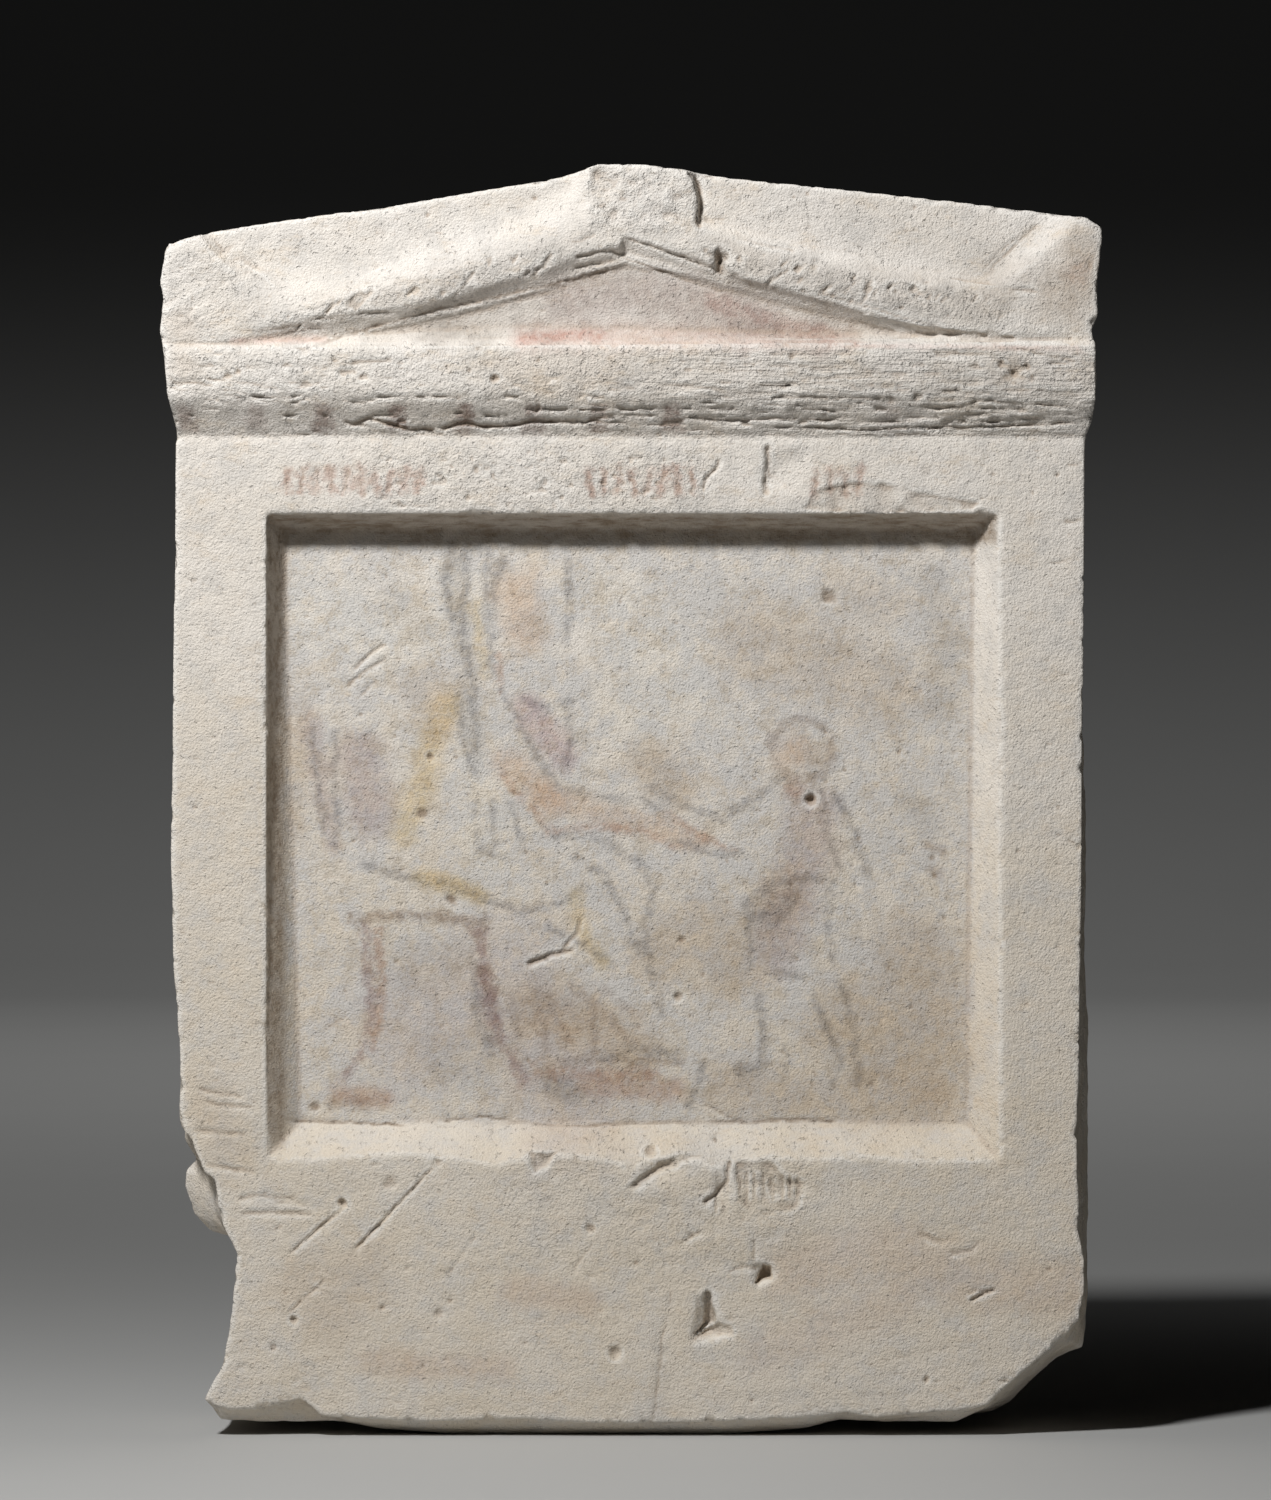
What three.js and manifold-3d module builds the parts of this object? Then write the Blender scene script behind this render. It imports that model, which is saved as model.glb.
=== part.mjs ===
// A small limestone stele, carved from one block: a pediment with three acroteria over a cornice,
// a shaft with a sunk panel, and a plain lower field that is broken at both lower corners.
// Millimetres. X runs to the right, Y to the back and Z up, so the carved front faces -Y.
// The origin is at the middle of the underside of the stele's box.
import * as THREE from "three";
import { ConvexGeometry } from "three/addons/geometries/ConvexGeometry.js";
import { mergeVertices } from "three/addons/utils/BufferGeometryUtils.js";
import Module from "manifold-3d";

// The block
const HEIGHT = 400;
const THICKNESS = 78; // from the face of the cornice to the back
const BACK_BEVEL = 4; // worn arris round the back
const BACK_BEVEL_DEPTH = 7;
const BACK_WEAR = 2; // how unevenly it is worn
const WEAR_STEP = 2.1; // radians of that wave from one point of the outline to the next
const FRONT_BEVEL = 1.2; // worn arris round the crown

// Relief, as heights above the face of the shaft
const CORNICE_PROUD = 7;
const PEDIMENT_PROUD = 6; // raking cornices and acroteria
const GROUND_PROUD = 2.2; // field between a raking cornice and the top of the block
const MOULDING_PROUD = 2.6; // step under a raking cornice
const TYMPANUM_PROUD = 1;
const NECK_PROUD = -1.5; // foot of the band under the cornice, which leaves the shaft a ledge
const PANEL_PROUD = -11; // floor of the sunk panel

// Levels of the horizontal cornice and the band under it
const LEDGE_Z = 313.8;
const CORNICE_FOOT_Z = 327.7;
const CORNICE_TOP_LEFT_Z = 342.2;
const CORNICE_TOP_RIGHT_Z = 344.4;
const GROOVE_HEIGHT = 1.9; // cut between the cornice and the pediment
const GROOVE_DEPTH = 3.8; // at the right, and half of that at the left
const GROOVE_LIFT = 0.1; // its foot over the cornice's top
const GROOVE_TIP = 0.5; // its deepest line over the cornice's top

// The section of the cornice over the band, from the ledge up to its top, as height above the face
// of the shaft and z: first from the ledge, then from the cornice's foot, then from its top
const FROM_LEDGE = [[-0.4, 1.6], [2.6, 7]];
const FROM_CORNICE_FOOT = [[5.6, -2.4], [6.5, 0], [CORNICE_PROUD, 4]];
const FROM_CORNICE_TOP = [[CORNICE_PROUD, -2], [6.4, -0.2], [4.6, 0.8], [TYMPANUM_PROUD, 2]];

// Chips out of a face: the face's height above the shaft's, how deep, the corners round it as x, z
// and last of all its deepest point
const CHIPS = [
  [0, 3.6, [37, 55.6], [44.6, 55], [46.4, 50], [38.4, 46], [42.4, 51.4]], // upper wedge pit
  [0, 4.4, [20.6, 46.6], [23.2, 46.4], [31.6, 31.4], [17.4, 28.6], [24, 33]], // lower wedge pit
  [0, 2.2, [42.4, 312.4], [42.6, 297], [57, 294], [60, 312.4], [43.2, 303]], // flake over the panel
  [0, 1.8, [1, 90], [23, 86], [17, 78], [-2, 75], [10, 85]], // flake under the sill
  [0, 2, [-2, 88], [9.4, 88], [8, 84.6], [4.6, 86.4]], // nick in the sill
  [0, 1.6, [26, 87], [33, 86], [31, 63], [24.6, 71], [28, 76]], // furrow under the sill
  [0, 2.4, [-62.6, 88], [-58.8, 88], [-61.2, 82.4], [-61, 86]], // notch at the end of a scratch
  [PEDIMENT_PROUD, 4, [26, 373], [29.6, 371], [29.4, 365], [27, 365.8], [28, 368.6]], // in the rake
  [CORNICE_PROUD, 2.6, [113, 339.4], [131, 340], [128, 329], [112, 330], [121, 335]], // in the cornice
];
const CHIP_OVERLAP = 0.4; // how far a chip's cutter stands out of the face

// Shallow round hollows in the middle acroterion: depth, x, z, width, height
const DISHES = [
  [1.8, -8, 395.4, 10, 11],
  [1.2, -10.4, 390, 8, 10],
];
const DISH_DETAIL = 2; // subdivisions of the round cutter

// The sunk panel: its mouth in the face of the shaft, and its floor
const MOUTH = { left: -114.8, right: 116, foot: 86.8, head: 290.5 };
const FLOOR = { left: -110, right: 108.4, foot: 98.2, head: 285.8, footLeft: -105, footRight: 106.4 };
// How far the worn lower arris of the mouth stands off its line, in equal steps from the left
const SILL_WEAR = [1, 0.4, 1.6, 2.4, 1.2, -1.2, 2, 1.4, -1.6, 0.6, -2.4, 1.2, 0.6, 1.6, 0, 0.2, 0];
const FLOOR_WEAR = 0.2; // share of that wear which the foot of the floor follows

const OVERLAP = 3; // how far joined solids run into each other, and cutters out of the stone
const BAR_REACH = 151; // a bar along X ends this far from the middle, just clear of the block
const FACE_Y = CORNICE_PROUD - THICKNESS / 2; // face of the shaft
const BODY_DEPTH = THICKNESS - CORNICE_PROUD;

// Outline of the block, anticlockwise as seen from the front. Each point is x, z on the face of
// the shaft and, where the stone is wider or narrower behind it, x, z there. That second place is
// reached between the depths `from` and `to` behind the face.
const OUTLINE = [
  // Underside: a flat bed with a worn front arris
  {
    from: 0,
    to: 9,
    points: [
      [-130.5, 8.6, -130, 4.1], [-118, 9, -116.4, 3.5], [-104.5, 12.4, -91, 3.6],
      [-98, 6.6, -79, 1.6], [-66, 5, -56, 0], [-33, 6, -30, 0], [-8, 4.4, -8, 0], [30, 5, 30, 0],
      [51.6, 6, 55.7, 1.8], [67.9, 7.9, 66, 4.2], [77, 6, 79, 3.5], [102.8, 8.5, 102.8, 3.5],
    ],
  },
  // Broken lower right corner
  {
    from: 0,
    to: 26,
    points: [
      [112.6, 10.1, 114.8, 5], [115.1, 13.2, 120.5, 7.9], [120, 17.6, 127, 14.2],
      [127, 23.4, 135.5, 21.7], [135.5, 30.5, 144, 25.5], [141, 36.5, 145.4, 32],
      [142.8, 45.9, 146, 45],
    ],
  },
  // Right side
  {
    from: 4,
    to: 34,
    points: [
      [143, 55, 146.6, 56], [141.5, 63.2, 147, 68], [140.6, 94, 146.6, 100],
      [141.2, 112.3, 147, 124], [141.8, 150, 145.4, 150], [142.1, 184.6, 146.4, 190],
      [142.6, 240, 144, 236], [143.1, 312.5, 142.6, 312.5], [143.4, 315, 143.4, 315],
      [145.4, 320, 145.6, 320], [146.2, 328, 146.4, 328], [146.2, 343, 147, 343],
      [144.6, 347.6, 145.4, 347.6], [146.9, 353, 147.4, 353], [146.4, 358, 146.8, 358],
      [146.6, 363, 147, 363], [148, 376.4, 147.6, 376], [147.8, 380, 147.2, 379.8],
    ],
  },
  // Top
  {
    from: 4,
    to: 40,
    points: [
      [143, 383.2, 142, 382.8], [131.8, 384.9, 131, 384.4], [100.3, 388.7, 98, 389],
      [62, 392.8, 60, 392.2], [31.1, 395.9, 33, 395.4], [17.9, 398.1, 20, 397], [5, 399.8, 6, 399],
      [-10.4, HEIGHT, -9, 399.4], [-16, 398.1, -17, 397], [-22.3, 396.2, -24, 395.4],
      [-72.6, 387.6, -70, 388], [-105, 383.2, -104, 382.4], [-130.5, 379.3, -129, 379],
      [-138.7, 377, -138, 376.6],
    ],
  },
  // Left side
  {
    from: 4,
    to: 34,
    points: [
      [-146, 374.8, -145.6, 374.6], [-148, 362.5, -147.6, 362], [-147, 358.4, -147.2, 357],
      [-148, 347.4, -147.4, 347], [-146.8, 339, -147, 339], [-146, 328.3, -146.4, 328],
      [-143.6, 318, -144.2, 318], [-143.4, 313.5, -143.6, 313.5], [-144, 262, -143, 264],
      [-144.4, 231.8, -144.2, 228], [-145, 184.6, -143.4, 186], [-144.3, 150, -144.4, 152],
      [-142, 118.6, -142.4, 120], [-142.5, 98, -142, 99],
    ],
  },
  // Break in the left side, with a stub of the old surface left behind it
  {
    from: 7,
    to: 19,
    points: [
      [-138.9, 94, -142, 92.5], [-134.2, 82.6, -138.2, 86.2], [-131.2, 81, -141.6, 82.6],
      [-130.5, 76.5, -141.8, 77.4], [-129.9, 70.4, -139, 68.6], [-128.2, 65.6, -134, 63.2],
      [-125.8, 61, -127, 61.6], [-124.2, 57.6, -123, 56.6],
    ],
  },
  // Fracture below the stub
  {
    from: 0,
    to: 30,
    points: [
      [-125.2, 48.1, -121, 46], [-126.1, 38.1, -124, 36], [-128, 27, -123.4, 28],
      [-129.4, 21.5, -127, 21], [-132.9, 15.4, -129, 15], [-134.6, 11.6, -131.6, 8],
    ],
  },
];
// Depths behind the face of the shaft at which the block has a section of its own
const SECTIONS = [0, 4, 9, 14, 19, 26, 34, 52];

// The pediment's edges, as x, z. Each field is sunk between its rim, at the height of the relief
// round it, and its foot, on the lower ground.
const ABOVE = HEIGHT + OVERLAP; // clear of the top of the block
const UPPER_LEFT = {
  rim: [
    [-142, ABOVE], [-135.4, 376.6], [-130.6, 370.8], [-117, 359.4], [-105.7, 359], [-86.8, 361],
    [-58, 369.6], [-24, 380], [-15.2, 385], [-11.6, ABOVE],
  ],
  foot: [
    [-139, ABOVE], [-132.6, 378], [-128.6, 372.8], [-113.2, 363.8], [-101, 363], [-86, 365.4],
    [-60, 375], [-28, 385.4], [-20.6, 388.4], [-17.4, ABOVE],
  ],
};
const UPPER_RIGHT = {
  rim: [
    [16.4, ABOVE], [18.6, 396.2], [20.8, 388.6], [20.9, 379.6], [61.6, 369.6], [90.3, 362.8],
    [117.3, 361.4], [129.2, 372.4], [138, 378.8], [145, ABOVE],
  ],
  foot: [
    [18.4, ABOVE], [20.4, 396.4], [22, 388.8], [22.6, 382], [62, 372.6], [90.6, 366],
    [109.6, 362.8], [121, 372.6], [129.2, 380.4], [136, ABOVE],
  ],
};
const UNDER_RAKE = {
  rim: [
    [-126, 343.6], [0, 343.6], [122, 345], [103, 347.4], [90.3, 349], [74.2, 352.8], [47.8, 361],
    [34.3, 364.6], [26.1, 369.2], [20.4, 372.2], [12.3, 373.4], [-0.9, 377], [-3.1, 377.4],
    [-3.3, 374.5], [-6.6, 374.2], [-16, 371.7], [-28.6, 367.4], [-41, 363.4], [-55.3, 359],
    [-68.6, 355.6], [-86.8, 353.4], [-102, 351.8], [-113, 350],
  ],
  foot: [
    [-118, 344.8], [0, 346], [117, 345.6], [100, 347], [88, 348.2], [72, 351.4], [46, 359],
    [34.3, 362.4], [25, 365.2], [19.4, 367], [11.6, 369.2], [-0.9, 372.6], [-2.4, 372.4],
    [-3.6, 371], [-7.6, 369.6], [-17.4, 366.2], [-29, 362.6], [-41.6, 359.4], [-55, 355.6],
    [-68, 351.8], [-84, 348.8], [-98, 347.2], [-109, 346.2],
  ],
};
const TYMPANUM = {
  rim: [
    [-104, 345.4], [-40, 346.8], [60, 345.8], [110, 346], [84.9, 347.6], [58.5, 354.4],
    [34.3, 361], [17.9, 365.6], [-1.6, 369.4], [-16, 364.8], [-30, 360.4], [-55, 353.6],
    [-84, 347.6],
  ],
  foot: [
    [-98, 346.4], [-38, 349], [60, 346.6], [104, 346.4], [84, 347.3], [57.6, 353.6],
    [33.6, 360], [17.4, 364.6], [-1.6, 368.2], [-16.2, 363.6], [-30, 359.2], [-54.6, 352.6],
    [-82, 347.1],
  ],
};

const wasm = await Module();
wasm.setup();

// A closed skin over rings of equal length, capped at the first and the last. A cap is cut into
// triangles in the plane of the two axes that `across` names.
function skin(rings, across) {
  const count = rings[0].length;
  const area = (a, b, c) => (b.x - a.x) * (c.y - a.y) - (c.x - a.x) * (b.y - a.y);
  const faces = [];
  const cap = (ring, turned) => {
    const flat = ring.map((p) => new THREE.Vector2(p[across[0]], p[across[1]]));
    const way = Math.sign(THREE.ShapeUtils.area(flat)) * (turned ? -1 : 1);
    const first = rings.indexOf(ring) * count;
    for (const [a, b, c] of THREE.ShapeUtils.triangulateShape(flat, [])) {
      const right = area(flat[a], flat[b], flat[c]) * way > 0;
      faces.push(first + a, first + (right ? b : c), first + (right ? c : b));
    }
  };
  cap(rings[0], false);
  cap(rings[rings.length - 1], true);
  for (let k = 0; k < rings.length - 1; k++)
    for (let i = 0; i < count; i++) {
      const [a, b] = [k * count + i, k * count + ((i + 1) % count)];
      faces.push(a, a + count, b, b, a + count, b + count);
    }
  return solid(rings.flat(2), faces);
}

// A manifold solid from positions and faces, turned so that its faces point out.
function solid(positions, faces) {
  const at = (i) => new THREE.Vector3(...positions.slice(3 * i, 3 * i + 3));
  let volume = 0;
  for (let i = 0; i < faces.length; i += 3)
    volume += at(faces[i]).dot(at(faces[i + 1]).cross(at(faces[i + 2])));
  if (volume < 0) faces.reverse();
  return new wasm.Manifold(
    new wasm.Mesh({
      numProp: 3,
      vertProperties: new Float32Array(positions),
      triVerts: new Uint32Array(faces),
    }),
  );
}

// A manifold solid from a closed three.js geometry.
function solidOf(geometry) {
  geometry.deleteAttribute("normal");
  geometry.deleteAttribute("uv");
  const merged = mergeVertices(geometry, 1e-4);
  return solid([...merged.attributes.position.array], [...merged.index.array]);
}

const proud = (height) => FACE_Y - height; // the Y of a height above the face of the shaft
const ring = (points, y) => points.map(([x, z]) => [x, y, z]);
const lerp = THREE.MathUtils.lerp;

// The block's outline at a depth behind the face of the shaft.
function outlineAt(depth) {
  return OUTLINE.flatMap(({ from, to, points }) => {
    const t = THREE.MathUtils.clamp((depth - from) / (to - from), 0, 1);
    return points.map(([x, z, backX, backZ]) => [lerp(x, backX, t), lerp(z, backZ, t)]);
  });
}

// The outline drawn in towards the middle of the block by about `by`, unevenly as `wear` says.
function drawnIn(points, by, wear) {
  const middle = HEIGHT / 2;
  return points.map(([x, z], i) => {
    const kept = 1 - (by + wear * Math.sin(WEAR_STEP * i)) / middle;
    return [x * kept, middle + (z - middle) * kept];
  });
}

function block() {
  const rings = SECTIONS.map((depth) => ring(outlineAt(depth), FACE_Y + depth));
  const back = outlineAt(BODY_DEPTH);
  rings.push(ring(back, THICKNESS / 2 - BACK_BEVEL_DEPTH));
  rings.push(ring(drawnIn(back, BACK_BEVEL, BACK_WEAR), THICKNESS / 2));
  return skin(rings, [0, 2]);
}

// A field sunk from the height `top` to the height `bottom`, with sloping sides.
function sunk({ rim, foot }, top, bottom) {
  const rings = [
    ring(rim, proud(top + OVERLAP)),
    ring(rim, proud(top)),
    ring(foot, proud(bottom)),
  ];
  return skin(rings, [0, 2]);
}

// A bar along X whose profile, a list of height above the face and z, may change between its ends.
function bar(leftProfile, rightProfile) {
  const end = (x, profile) => profile.map(([height, z]) => [x, proud(height), z]);
  return skin([end(-BAR_REACH, leftProfile), end(BAR_REACH, rightProfile)], [1, 2]);
}

// The cornice with the band under it: an upright face over a slope that runs back to the neck.
function cornice() {
  const raised = (points, z) => points.map(([height, up]) => [height, z + up]);
  const profile = (top) => [
    [NECK_PROUD - OVERLAP, LEDGE_Z],
    [NECK_PROUD, LEDGE_Z],
    ...raised(FROM_LEDGE, LEDGE_Z),
    ...raised(FROM_CORNICE_FOOT, CORNICE_FOOT_Z),
    ...raised(FROM_CORNICE_TOP, top),
    [NECK_PROUD - OVERLAP, top + OVERLAP],
  ];
  return bar(profile(CORNICE_TOP_LEFT_Z), profile(CORNICE_TOP_RIGHT_Z));
}

// The slot between the cornice and the pediment, deepest at the right.
function groove() {
  const profile = (top, depth) => [
    [PEDIMENT_PROUD + OVERLAP, top + GROOVE_LIFT],
    [PEDIMENT_PROUD, top + GROOVE_LIFT],
    [PEDIMENT_PROUD - depth, top + GROOVE_TIP],
    [PEDIMENT_PROUD, top + GROOVE_HEIGHT],
    [PEDIMENT_PROUD + OVERLAP, top + GROOVE_HEIGHT],
  ];
  return bar(
    profile(CORNICE_TOP_LEFT_Z, GROOVE_DEPTH / 2),
    profile(CORNICE_TOP_RIGHT_Z, GROOVE_DEPTH),
  );
}

// The pediment's raised field, over the cornice, before its grounds are sunk.
function pedimentField() {
  const foot = (CORNICE_TOP_LEFT_Z + CORNICE_TOP_RIGHT_Z) / 2 - OVERLAP;
  const corners = [
    [NECK_PROUD - OVERLAP, foot],
    [PEDIMENT_PROUD, foot],
    [PEDIMENT_PROUD, ABOVE],
    [NECK_PROUD - OVERLAP, ABOVE],
  ];
  return bar(corners, corners);
}

function crown() {
  const face = outlineAt(0);
  const limits = skin(
    [
      ring(drawnIn(face, FRONT_BEVEL, 0), proud(CORNICE_PROUD)),
      ring(face, proud(CORNICE_PROUD - FRONT_BEVEL)),
      ring(face, proud(NECK_PROUD - OVERLAP)),
    ],
    [0, 2],
  );
  return pedimentField()
    .subtract(sunk(UPPER_LEFT, PEDIMENT_PROUD, GROUND_PROUD))
    .subtract(sunk(UPPER_RIGHT, PEDIMENT_PROUD, GROUND_PROUD))
    .subtract(sunk(UNDER_RAKE, PEDIMENT_PROUD, MOULDING_PROUD))
    .subtract(sunk(TYMPANUM, MOULDING_PROUD, TYMPANUM_PROUD))
    .add(cornice())
    .subtract(groove())
    .intersect(limits);
}

// The mouth of the panel and its floor, with the worn sill along the foot.
function panel() {
  const steps = SILL_WEAR.length - 1;
  const foot = (left, right, z, wear) =>
    SILL_WEAR.map((off, i) => [lerp(left, right, i / steps), z + wear * off]);
  const rim = [
    ...foot(MOUTH.left, MOUTH.right, MOUTH.foot, 1),
    [MOUTH.right, MOUTH.head],
    [MOUTH.left, MOUTH.head],
  ];
  const floor = [
    ...foot(FLOOR.footLeft, FLOOR.footRight, FLOOR.foot, FLOOR_WEAR),
    [FLOOR.right, FLOOR.head],
    [FLOOR.left, FLOOR.head],
  ];
  return sunk({ rim, foot: floor }, 0, PANEL_PROUD);
}

// The stone over the ledge, cut back so that only the crown stands there.
function neck() {
  const corners = [
    [OVERLAP, LEDGE_Z],
    [NECK_PROUD, LEDGE_Z],
    [NECK_PROUD, ABOVE],
    [OVERLAP, ABOVE],
  ];
  return bar(corners, corners);
}

// A sharp chip out of a face that stands `height` above the shaft's. Its corners lie round it as
// x, z, and its deepest point is the last of them, `depth` below the face.
function chip([height, depth, ...outline]) {
  const corners = outline.slice(0, -1);
  const deepest = outline[outline.length - 1];
  const points = ring(corners, proud(height + CHIP_OVERLAP)).map((p) => new THREE.Vector3(...p));
  points.push(new THREE.Vector3(deepest[0], proud(height - depth), deepest[1]));
  return solidOf(new ConvexGeometry(points));
}

// A shallow round hollow in the face of the pediment, `depth` deep.
function dish([depth, x, z, width, tall]) {
  const round = new THREE.IcosahedronGeometry(1, DISH_DETAIL);
  round.scale(width / 2, depth, tall / 2);
  round.translate(x, proud(PEDIMENT_PROUD), z);
  return solidOf(round);
}

function stele() {
  let stone = block().subtract(neck()).add(crown()).subtract(panel());
  for (const cutter of [...CHIPS.map(chip), ...DISHES.map(dish)]) stone = stone.subtract(cutter);
  const { vertProperties, triVerts } = stone.getMesh();
  const geometry = new THREE.BufferGeometry()
    .setAttribute("position", new THREE.BufferAttribute(vertProperties, 3))
    .setIndex(new THREE.BufferAttribute(triVerts, 1));
  const limestone = new THREE.MeshStandardMaterial({
    color: 0xd8cfbf,
    roughness: 0.95,
    metalness: 0,
    flatShading: true,
  });
  const mesh = new THREE.Mesh(geometry, limestone);
  mesh.name = "stele";
  return mesh;
}

const object = new THREE.Group();
object.add(stele());

export default object;
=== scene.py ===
"""A carved and painted limestone stele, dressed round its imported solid, for Blender 4.5.

Sizes are in millimetres in the frame's axes: x to the right, y to the back and z up.
The drawn marks are placed on a map of the front, seen square on, and then pressed into the stone.
"""

import math

import bpy
import numpy as np
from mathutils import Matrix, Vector


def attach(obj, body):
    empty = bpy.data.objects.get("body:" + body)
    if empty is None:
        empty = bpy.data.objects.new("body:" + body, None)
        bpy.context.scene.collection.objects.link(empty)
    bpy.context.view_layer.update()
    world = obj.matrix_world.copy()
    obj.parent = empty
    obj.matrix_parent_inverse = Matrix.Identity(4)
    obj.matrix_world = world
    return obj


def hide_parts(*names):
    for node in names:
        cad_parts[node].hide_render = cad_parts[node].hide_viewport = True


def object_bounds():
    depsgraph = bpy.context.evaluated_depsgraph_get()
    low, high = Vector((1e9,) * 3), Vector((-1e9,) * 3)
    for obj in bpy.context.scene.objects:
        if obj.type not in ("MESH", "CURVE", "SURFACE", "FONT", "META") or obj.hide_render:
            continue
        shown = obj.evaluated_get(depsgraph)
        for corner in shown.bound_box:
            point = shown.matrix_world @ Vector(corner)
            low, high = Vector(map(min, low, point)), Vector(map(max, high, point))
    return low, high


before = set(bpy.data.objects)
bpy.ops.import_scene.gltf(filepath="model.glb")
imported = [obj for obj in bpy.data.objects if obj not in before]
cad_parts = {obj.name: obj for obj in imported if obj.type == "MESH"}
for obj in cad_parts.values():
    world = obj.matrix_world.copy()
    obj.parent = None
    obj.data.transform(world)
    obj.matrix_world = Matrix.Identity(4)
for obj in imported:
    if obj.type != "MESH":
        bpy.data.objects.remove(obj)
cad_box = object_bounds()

MM = 0.001
VOXEL = 0.75
MOST_TRIANGLES = 196_000

# Thinning: its weights for the front's arrises, its flats and the rest, in so many levels, and how
# even the edges come out
KEEP_BENT, KEEP_FLAT, KEEP_BEHIND = 0.95, 0.6, 0.1
KEEP_LEVELS = 20
EVENNESS = 4e-5

# The stone's main planes and levels, from the solid
FACE_Y = -32.0
PANEL_Y = -21.0
LEDGE_Z = 313.8
CORNICE_TOP_Z = 343.0
CROWN_Z = 345  # the pediment is above it

# The painted panel and the mouth of its niche at the face: left, right, foot and head
PANEL = (-110.0, 108.4, 98.2, 285.8)
MOUTH = (-114.8, 116.0, 86.8, 290.5)

# How deep the stone is worn: all its arrises, and the chips in them
ARRIS_WEAR, CHIP_WEAR = 0.8, 1.7
# Drawn marks are cut this much deeper than their numbers say, and textures in the panel are weaker
MARK_GAIN, PANEL_CALM = 1.25, 0.4

# The camera's view of the face, in metres, and its sensor's width in mm
VIEW_DISTANCE = 2.0
VIEW_SIDE = 0.0014
VIEW_HEIGHT = 0.216
FRAME_HEIGHT = 0.4717
SENSOR = 36.0

# The key lamp: degrees right of the front and up, distance and size in metres, and watts
KEY_LAMP = (-31, 44, 1.10, 0.15, 12.7)
MIDDLE_HEIGHT = 0.2  # what it is aimed at
# The lamp on the paper behind: place, aim and size in metres, watts, and spread in degrees
FLOOR_LAMP = ((0, 1.3, 2.8), (0, 3.4, 0), (1.2, 1.2), 13.5, 110)
ROOM_LIGHT = 0.003
# The paper: how far out it lies flat, how wide its bend is and how high it goes, in metres
PAPER = (3.6, 2.2, 4.0)


# ---- noise and masks

TABLE_SIZE = 256
LAYER_FADE = 0.55
SEED_STEP = 17
_table_rng = np.random.default_rng(11)
SHUFFLE = _table_rng.permutation(TABLE_SIZE)
VALUES = _table_rng.uniform(-1, 1, TABLE_SIZE)


def lattice_noise(coordinates, seed):
    """Smooth noise from -1 to 1, with one random value at each whole coordinate."""
    cells = [np.floor(c).astype(np.int32) for c in coordinates]
    shares = [c - cell for c, cell in zip(coordinates, cells)]
    shares = [s * s * (3 - 2 * s) for s in shares]
    total = 0
    for corner in range(2 ** len(cells)):
        key, weight = seed, 1
        for axis, (cell, share) in enumerate(zip(cells, shares)):
            far = corner >> axis & 1
            key = SHUFFLE[(cell + far + key) % TABLE_SIZE]
            weight = weight * (share if far else 1 - share)
        total = total + VALUES[key] * weight
    return total


def noise(coordinates, sizes, seed, octaves=1):
    """Layered noise; each layer has half the size of the one before and is fainter."""
    total, strength, most = 0, 1.0, 0.0
    for octave in range(octaves):
        scaled = [c * 2**octave / size for c, size in zip(coordinates, sizes)]
        total = total + strength * lattice_noise(scaled, seed + SEED_STEP * octave)
        most += strength
        strength *= LAYER_FADE
    return total / most


def ramp(low, high, value):
    """A smooth rise from 0 where the value is low to 1 where it is high."""
    share = np.clip((value - low) / (high - low), 0, 1)
    return share * share * (3 - 2 * share)


def inside(x, z, left, right, foot, head, soft):
    """1 inside a rectangle of the front and 0 outside it, with soft edges."""
    across = ramp(left - soft, left + soft, x) * ramp(right + soft, right - soft, x)
    up = ramp(foot - soft, foot + soft, z) * ramp(head + soft, head - soft, z)
    return across * up


def turned(x, z, degrees):
    """Coordinates along and across a direction, given as degrees up from the x axis."""
    c, s = math.cos(math.radians(degrees)), math.sin(math.radians(degrees))
    return x * c + z * s, z * c - x * s


def off_line(x, z, middle, height, slope):
    """How far each place is above or below a sloping line through (middle, height)."""
    return np.abs(z - height - slope * (x - middle))


def in_front(y):
    """1 in the front half of the block, where the niche is, and 0 behind it."""
    return ramp(0, -5, y)


# ---- the map of the front

CELL = 0.3
MAP_LEFT, MAP_FOOT = -149.0, -1.0
MAP_RIGHT, MAP_HEAD = 149.2, 401.2
MAP_X, MAP_Z = np.meshgrid(
    np.arange(MAP_LEFT, MAP_RIGHT, CELL), np.arange(MAP_FOOT, MAP_HEAD, CELL)
)
# How crooked drawn lines are, in mm, and how uneven their width and depth
WOBBLE, WOBBLE_SIZE = 0.45, (2.4, 2.4)
ROUGH_X = WOBBLE * noise((MAP_X, MAP_Z), WOBBLE_SIZE, 3, 2)
ROUGH_Z = WOBBLE * noise((MAP_X, MAP_Z), WOBBLE_SIZE, 9, 2)
UNEVEN = noise((MAP_X, MAP_Z), (5, 5), 21, 2)


def window(points, reach):
    """The part of the map within reach of the points, and its slightly crooked coordinates."""
    xs, zs = zip(*points)
    rows, columns = MAP_X.shape
    left = max(0, int((min(xs) - reach - MAP_LEFT) / CELL))
    right = min(columns, int((max(xs) + reach - MAP_LEFT) / CELL) + 2)
    foot = max(0, int((min(zs) - reach - MAP_FOOT) / CELL))
    head = min(rows, int((max(zs) + reach - MAP_FOOT) / CELL) + 2)
    part = np.s_[foot:head, left:right]
    return part, MAP_X[part] + ROUGH_X[part], MAP_Z[part] + ROUGH_Z[part]


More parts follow.
